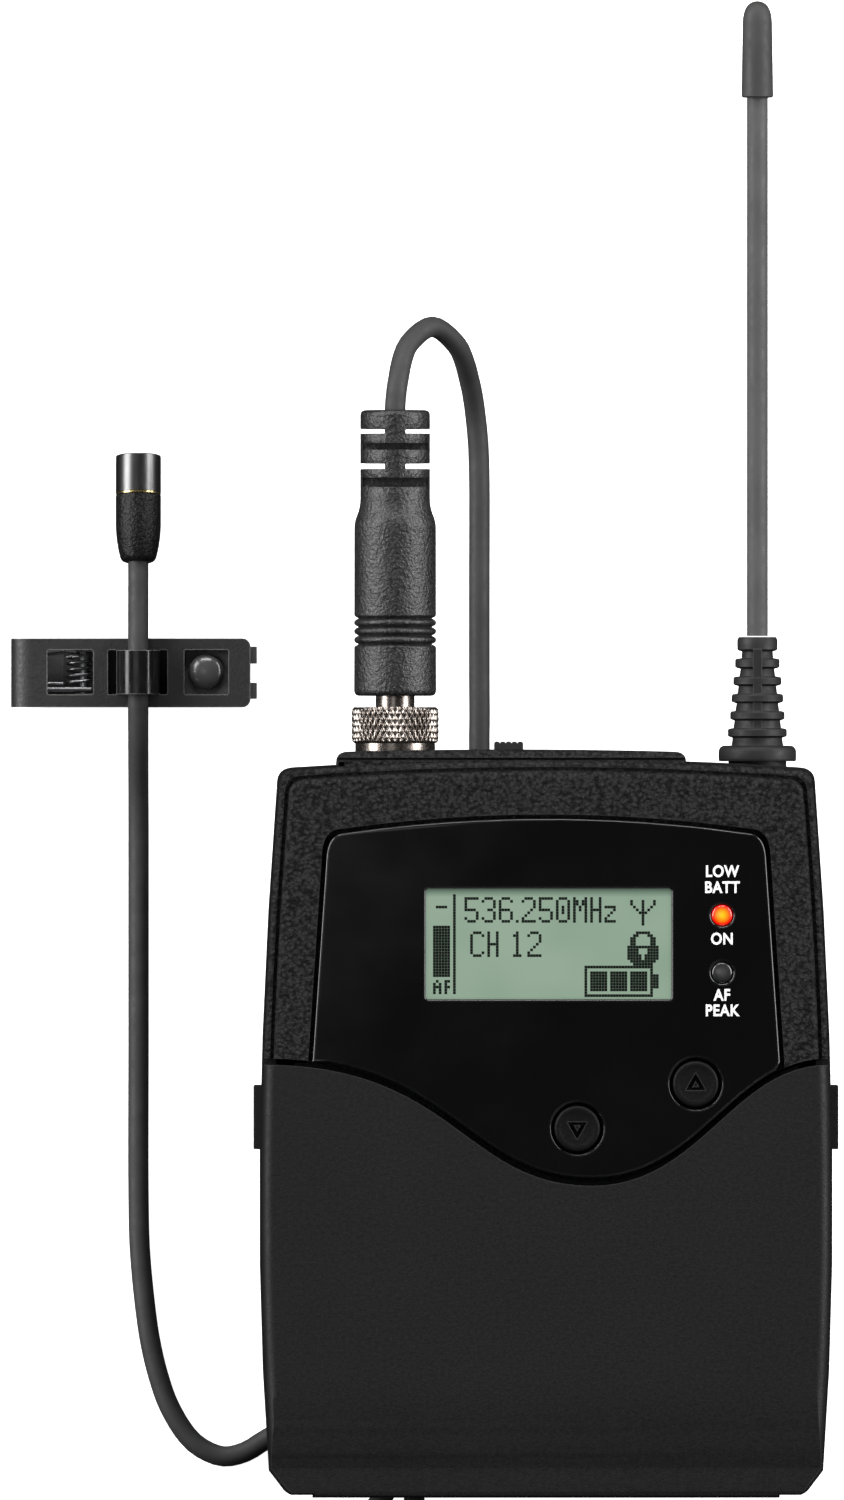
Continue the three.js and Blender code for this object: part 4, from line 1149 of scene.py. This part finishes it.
def make_aerial():
    """A boot with five ribs and a web, a rod, and a rounded tip."""
    profile = [(0, 37.2), (2.1, 37.2), (2.1, 39.3), (3.2, 39.3), (3.2, 40), (4.1, 40)]
    profile += quad((4.1, 40), (4.28, 40), (4.28, 40.3), 3)
    profile += [(4.28, 41.1)] + quad((4.28, 41.1), (4.2, 41.7), (3.6, 41.75), 4) + [(2.85, 41.75)]
    ribs = [(3.25, 42.7, 43.6), (3, 44.6, 45.5), (2.85, 46.5, 47.4), (2.65, 48.4, 49.3), (2.45, 50.3, 51.3)]
    for radius, low, high in ribs:
        inner = 2.85 - 0.115 * (low - 41.7)
        profile += [(inner, low - 0.12), (radius - 0.15, low), (radius, low + 0.12), (radius, high - 0.15),
                    (radius - 0.12, high), (inner - 0.1, high + 0.08)]
    profile += [(1.7, 52.1), (2.1, 52.2), (2.22, 52.35), (2.22, 53.4), (2.05, 53.7), (0, 53.7)]
    boot = lathe("aerial_boot", profile, "y", AERIAL, 64)
    strip = rounded_rectangle(AERIAL_X - 0.5, AERIAL_X + 0.5, 41.5, 52.4, 0.1)
    web = slab("web", [strip], AXIS_Z - 2.6, AXIS_Z + 2.6, 0.12)
    settle(merged("aerial_boot_moulded", [boot, web]), "case", RUBBER, "antenna_boot")
    settle(round_bar("aerial_rod", 1.16, 53.8, 113.3, "y", AERIAL, 48), "case", AERIAL_RUBBER, "antenna_rod")
    tip = [(0, 113.1), (1.6, 113.1), (1.75, 113.25), (1.75, 113.7), (1.68, 118), (1.62, 121.4)]
    tip += quad((1.62, 121.4), (1.55, 123.7), (0, 123.75), 10)
    settle(lathe("aerial_tip", tip, "y", AERIAL, 48), "case", AERIAL_TIP, "antenna_tip")


make_aerial()


# ---------------------------------------------------------------- microphone

MIC_X, MIC_NOSE, MIC_Z, MIC_TILT = -45.0, 73.8, 2.75, -8.0


def lay_down(piece):
    """From upright on its own axis to lying nose down, as part.mjs lays it."""
    place = Matrix.Translation(Vector((MIC_X, MIC_NOSE, MIC_Z)) * MM)
    piece.data.transform(place @ Matrix.Rotation(math.radians(MIC_TILT), 4, "X"))
    return piece


def make_microphone():
    cap = [(0, -4.15), (2.5, -4.15), (2.5, -0.16), (2.44, -0.04), (2.34, 0), (1.7, 0), (1.65, -0.25),
           (0, -0.25)]
    settle(lay_down(lathe("mic_capsule", cap)), "case", DARK_METAL, "mic_cap")
    ring = [(0, -4.44), (2.42, -4.44), (2.48, -4.4), (2.48, -4.2), (2.42, -4.16), (0, -4.16)]
    settle(lay_down(lathe("mic_gold_ring", ring)), "case", GOLD, "mic_ring")
    body = [(0, -11.9), (1.5, -11.9)] + quad((1.5, -11.9), (1.95, -11.8), (2.05, -11.2), 5)
    body += quad((2.05, -11.2), (2.42, -9.8), (2.5, -7.9), 6) + [(2.5, -4.55), (2.44, -4.47), (0, -4.47)]
    settle(lay_down(lathe("mic_sleeve", body)), "case", MIC_RUBBER, "mic_body")


make_microphone()


# ---------------------------------------------------------------- top panel, switch and latches

PANEL_X = (-23.1, 15.4)
PANEL_RISE = 0.27
PANEL_ROUND = 1.2


def panel_top(x):
    middle, half = sum(PANEL_X) / 2, (PANEL_X[1] - PANEL_X[0]) / 2
    return 41.05 + PANEL_RISE * (1 - ((x - middle) / half) ** 2)


def make_top_panel():
    x0, x1 = PANEL_X
    top = [(x1 + (x0 - x1) * t, panel_top(x1 + (x0 - x1) * t)) for t in (i / 32 for i in range(1, 32))]
    left, right = [(x, panel_top(x)) for x in (x0 + PANEL_ROUND, x1 - PANEL_ROUND)]
    outline = [(x0, 39.2), (x1, 39.2), (x1, 39.9)] + quad((x1, 39.9), (x1, 41), right, 6)
    outline += [point for point in top if left[0] < point[0] < right[0]]
    outline += [left] + quad(left, (x0, 41), (x0, 39.9), 6)
    panel = slab("socket_panel", [outline], 9.5, 26, 0.1)
    section = [(38.5, 9), (42, 9), (42, 23)] + quad((42, 23), (41.6, 25.6), (40.42, 26), 8)
    section += [(40.34, 25.9), (40.3, 25.4), (40.16, 25.4), (40.12, 25.9), (40.04, 26.1), (38.5, 26.1)]
    keep(panel, prism("section", section, -40, 40, "x"))
    cut(panel, round_bar("bore", 3.3, 36, 45, "y", JACK, 48),
        box_piece("slot", (-5.1, -1.1), (36, 45), (AXIS_Z - 1, AXIS_Z + 1)),
        box_piece("notch", (-22.8, -22.15), (39.45, 39.95), (25, 27)))
    settle(panel, "case", GRAINED, "top_panel", edge=0.06)


def make_mute_switch():
    half, teeth = 1.6, 5
    pitch = 2 * half / teeth
    outline = [(-4.1 + half, 41.22)]
    for tooth in range(teeth):
        start = -4.1 + half - tooth * pitch
        outline += [(start - pitch * (0.5 - 0.5 * math.cos(a)), 41.95 + 0.25 * math.sin(a))
                    for a in (math.pi * i / 8 for i in range(1 if tooth else 0, 9))]
    outline.append((-4.1 - half, 41.22))
    knob = prism("mute_knob", outline, AXIS_Z - 2.4, AXIS_Z + 2.4)
    join(knob, box_piece("stem", (-4.8, -3.4), (37.8, 41.5), (AXIS_Z - 0.7, AXIS_Z + 0.7)))
    settle(knob, "mute_slider", RUBBER, "mute_switch", edge=0.05)


def make_latch(word, side):
    def span(near, far):
        return tuple(sorted((side * near, side * far)))

    pad = box_piece("latch_pad_" + word, span(28.1, 32.2), (-2.7, 4.35), (12.8, 19.6))
    join(pad, box_piece("stop", span(28.1, 29.3), (-3.7, 5.35), (11.8, 20.6)),
         box_piece("hook", span(28.1, 29.1), (-1.2, 2.85), (19.6, 24.1)))
    for step in range(6):
        y = -1.8 + 1.05 * step
        cut(pad, box_piece("grip", span(31.95, 33), (y, y + 0.4), (14, 18.4)))
    settle(pad, word + "_latch", SHELL, "latch_" + word, edge=0.3)


make_top_panel()
make_mute_switch()
make_latch("left", -1)
make_latch("right", 1)


# ---------------------------------------------------------------- tie clip and cord tie

PIN = (-51.0, 1.9)
LOOP_X = -45.0


def make_front_jaw():
    bend = [(-30, 3.4), (-30, 4.2), (-56.6, 4.2)] + quad((-56.6, 4.2), (-59.1, 4.2), (-59.1, 1.7), 10)
    bend += [(-58.3, 1.7)] + quad((-58.3, 1.7), (-58.3, 3.4), (-56.6, 3.4), 10)
    jaw = prism("clip_plate", bend, 45.95, 53.6, "y")
    rounded = prism("rounded", rounded_rectangle(-62, -32.6, 45.95, 53.6, 0.9), 0, 9)
    keep(jaw, rounded)
    for y in ((46, 46.6), (53, 53.6)):
        join(jaw, box_piece("ear", (-52.2, -49.8), y, (1, 3.6)))
    for x in ((-55.05, -50), (-39.9, -35.05), (-48.35, -47.4), (-42.65, -41.8)):
        cut(jaw, prism("opening", rounded_rectangle(*x, 47.4, 52.3, 0.15, 2), 0, 9))
    cut(jaw, round_bar("bore", 0.62, 40, 60, "y", PIN, 24))
    settle(jaw, "case", CLIP_PLASTIC, "clip_front_jaw", edge=0.09)


def make_rear_jaw():
    jaw = box_piece("clip_back_plate", (-57.6, -32.9), (46.9, 52.7), (0.1, 0.7))
    for y in ((46.9, 47.5), (52.1, 52.7)):
        join(jaw, box_piece("ear", (-52, -50), y, (0.1, 2.9)))
    for y in ((46.9, 48.7), (50.8, 52.7)):
        join(jaw, box_piece("tooth", (-33.9, -31.9), y, (0.1, 3)))
    join(jaw, box_piece("pad", (-40.6, -34.4), (47.1, 52.5), (0.5, 3.0)),
         box_piece("grip_block", (-55.4, -53.3), (47.2, 52.4), (0.5, 1.0)))
    radius, rise, foot = 2.0, 1.2, 3.15
    dome = [(0, 2.8), (radius, 2.8), (radius, foot)] + arc(0, foot, radius, rise, 12)
    settle(lathe("clip_dome", dome, "z", (-37.5, 49.9), 48), "rear_jaw", DOME)
    cut(jaw, round_bar("bore", 0.62, 40, 60, "y", PIN, 24))
    settle(jaw, "rear_jaw", REAR_JAW, "clip_rear_jaw", edge=0.07)
    # A near-black strip under the loop's slots: a painted shadow, put where there is only shade.
    shadow_strip = box_piece("clip_slot_shadow_strip", (-48.9, -41.2), (47.1, 52.5), (0.65, 1.2))
    settle(shadow_strip, "rear_jaw", PAINTED_SLOT_SHADOW, edge=0.1)


def make_clip_spring():
    """Four turns round the pin, with a leg to the left at each end and a bar beside the ears."""
    across, radius, low, high, turns = 1.45, 0.76, 48.7, 51.5, 4
    middle = PIN[0] - 0.4
    route = [(-55.2, low - 0.1, 3.05), (-53.4, low - 0.1, 2.8), (middle - across, low, PIN[1])]
    for i in range(int(turns * 16) + 1):
        angle = 2 * math.pi * i / 16
        route.append((middle - across * math.cos(angle), low + (high - low) * i / (turns * 16),
                      PIN[1] + radius * math.sin(angle)))
    route += [(middle, high + 0.25, 2.8), (-53.4, high + 0.5, 3.1), (-55.2, high + 0.3, 3.05)]
    wire = tube_mesh("turns", route, 0.17, 3)
    bar = tube_mesh("bar", [(-55.3, 47.95, 3.0), (-50.2, 47.95, 3.0)], 0.3, 4)
    settle(merged("clip_torsion_spring", [wire, bar]), "case", BLACK_STEEL, "clip_spring")


def make_loop():
    """The bridge over the cord, open below, with a round back."""
    wide, thick, low, crown = 1.9, 0.45, 4.2, 8.0
    half = [(wide, low)] + cubic((wide, low), (wide, 6.6), (1.5, crown - thick), (0, crown - thick), 16)
    inner = [(-x, z) for x, z in half] + half[-2::-1]
    outside = wide + thick
    half = [(outside, low)] + cubic((outside, low), (outside, 7.0), (1.6, crown), (0, crown), 16)
    outer = half + [(-x, z) for x, z in half[-2::-1]]
    outline = [(LOOP_X + x, z) for x, z in outer + inner]
    settle(prism("clip_bridge", outline, 47.4, 52.3, "y"), "case", BRIDGE, "clip_loop", edge=0.08)


def make_cord_tie():
    """A strap round the coil's bundle."""
    x0, x1, z0, z1 = -49.5, -38.3, 0.0, 10.5
    band = [(x0 + 0.5, z0), (x1 - 0.5, z0)] + quad((x1 - 0.5, z0), (x1, z0), (x1, z0 + 0.5), 4)
    band += [(x1, z1 - 1.2)] + quad((x1, z1 - 1.2), (x1, z1), (x1 - 1.2, z1), 6)
    band += [(x0 + 1.2, z1)] + quad((x0 + 1.2, z1), (x0, z1), (x0, z1 - 1.2), 6)
    band += [(x0, z0 + 0.5)] + quad((x0, z0 + 0.5), (x0, z0), (x0 + 0.5, z0), 4)[:-1]
    strap = prism("tie_strap", band, -65, -59, "y")
    inside, outside = 7.9, 17.8
    ring = [(inside, 0.4), (outside, 0.4), (outside, 10.1), (inside, 10.1), (inside, 0.4)]
    cut(strap, lathe("hole", ring, "z", COIL_CENTRE, 96))
    settle(strap, "case", RUBBER, "cord_tie", edge=0.1)


make_front_jaw()
make_rear_jaw()
make_clip_spring()
make_loop()
make_cord_tie()
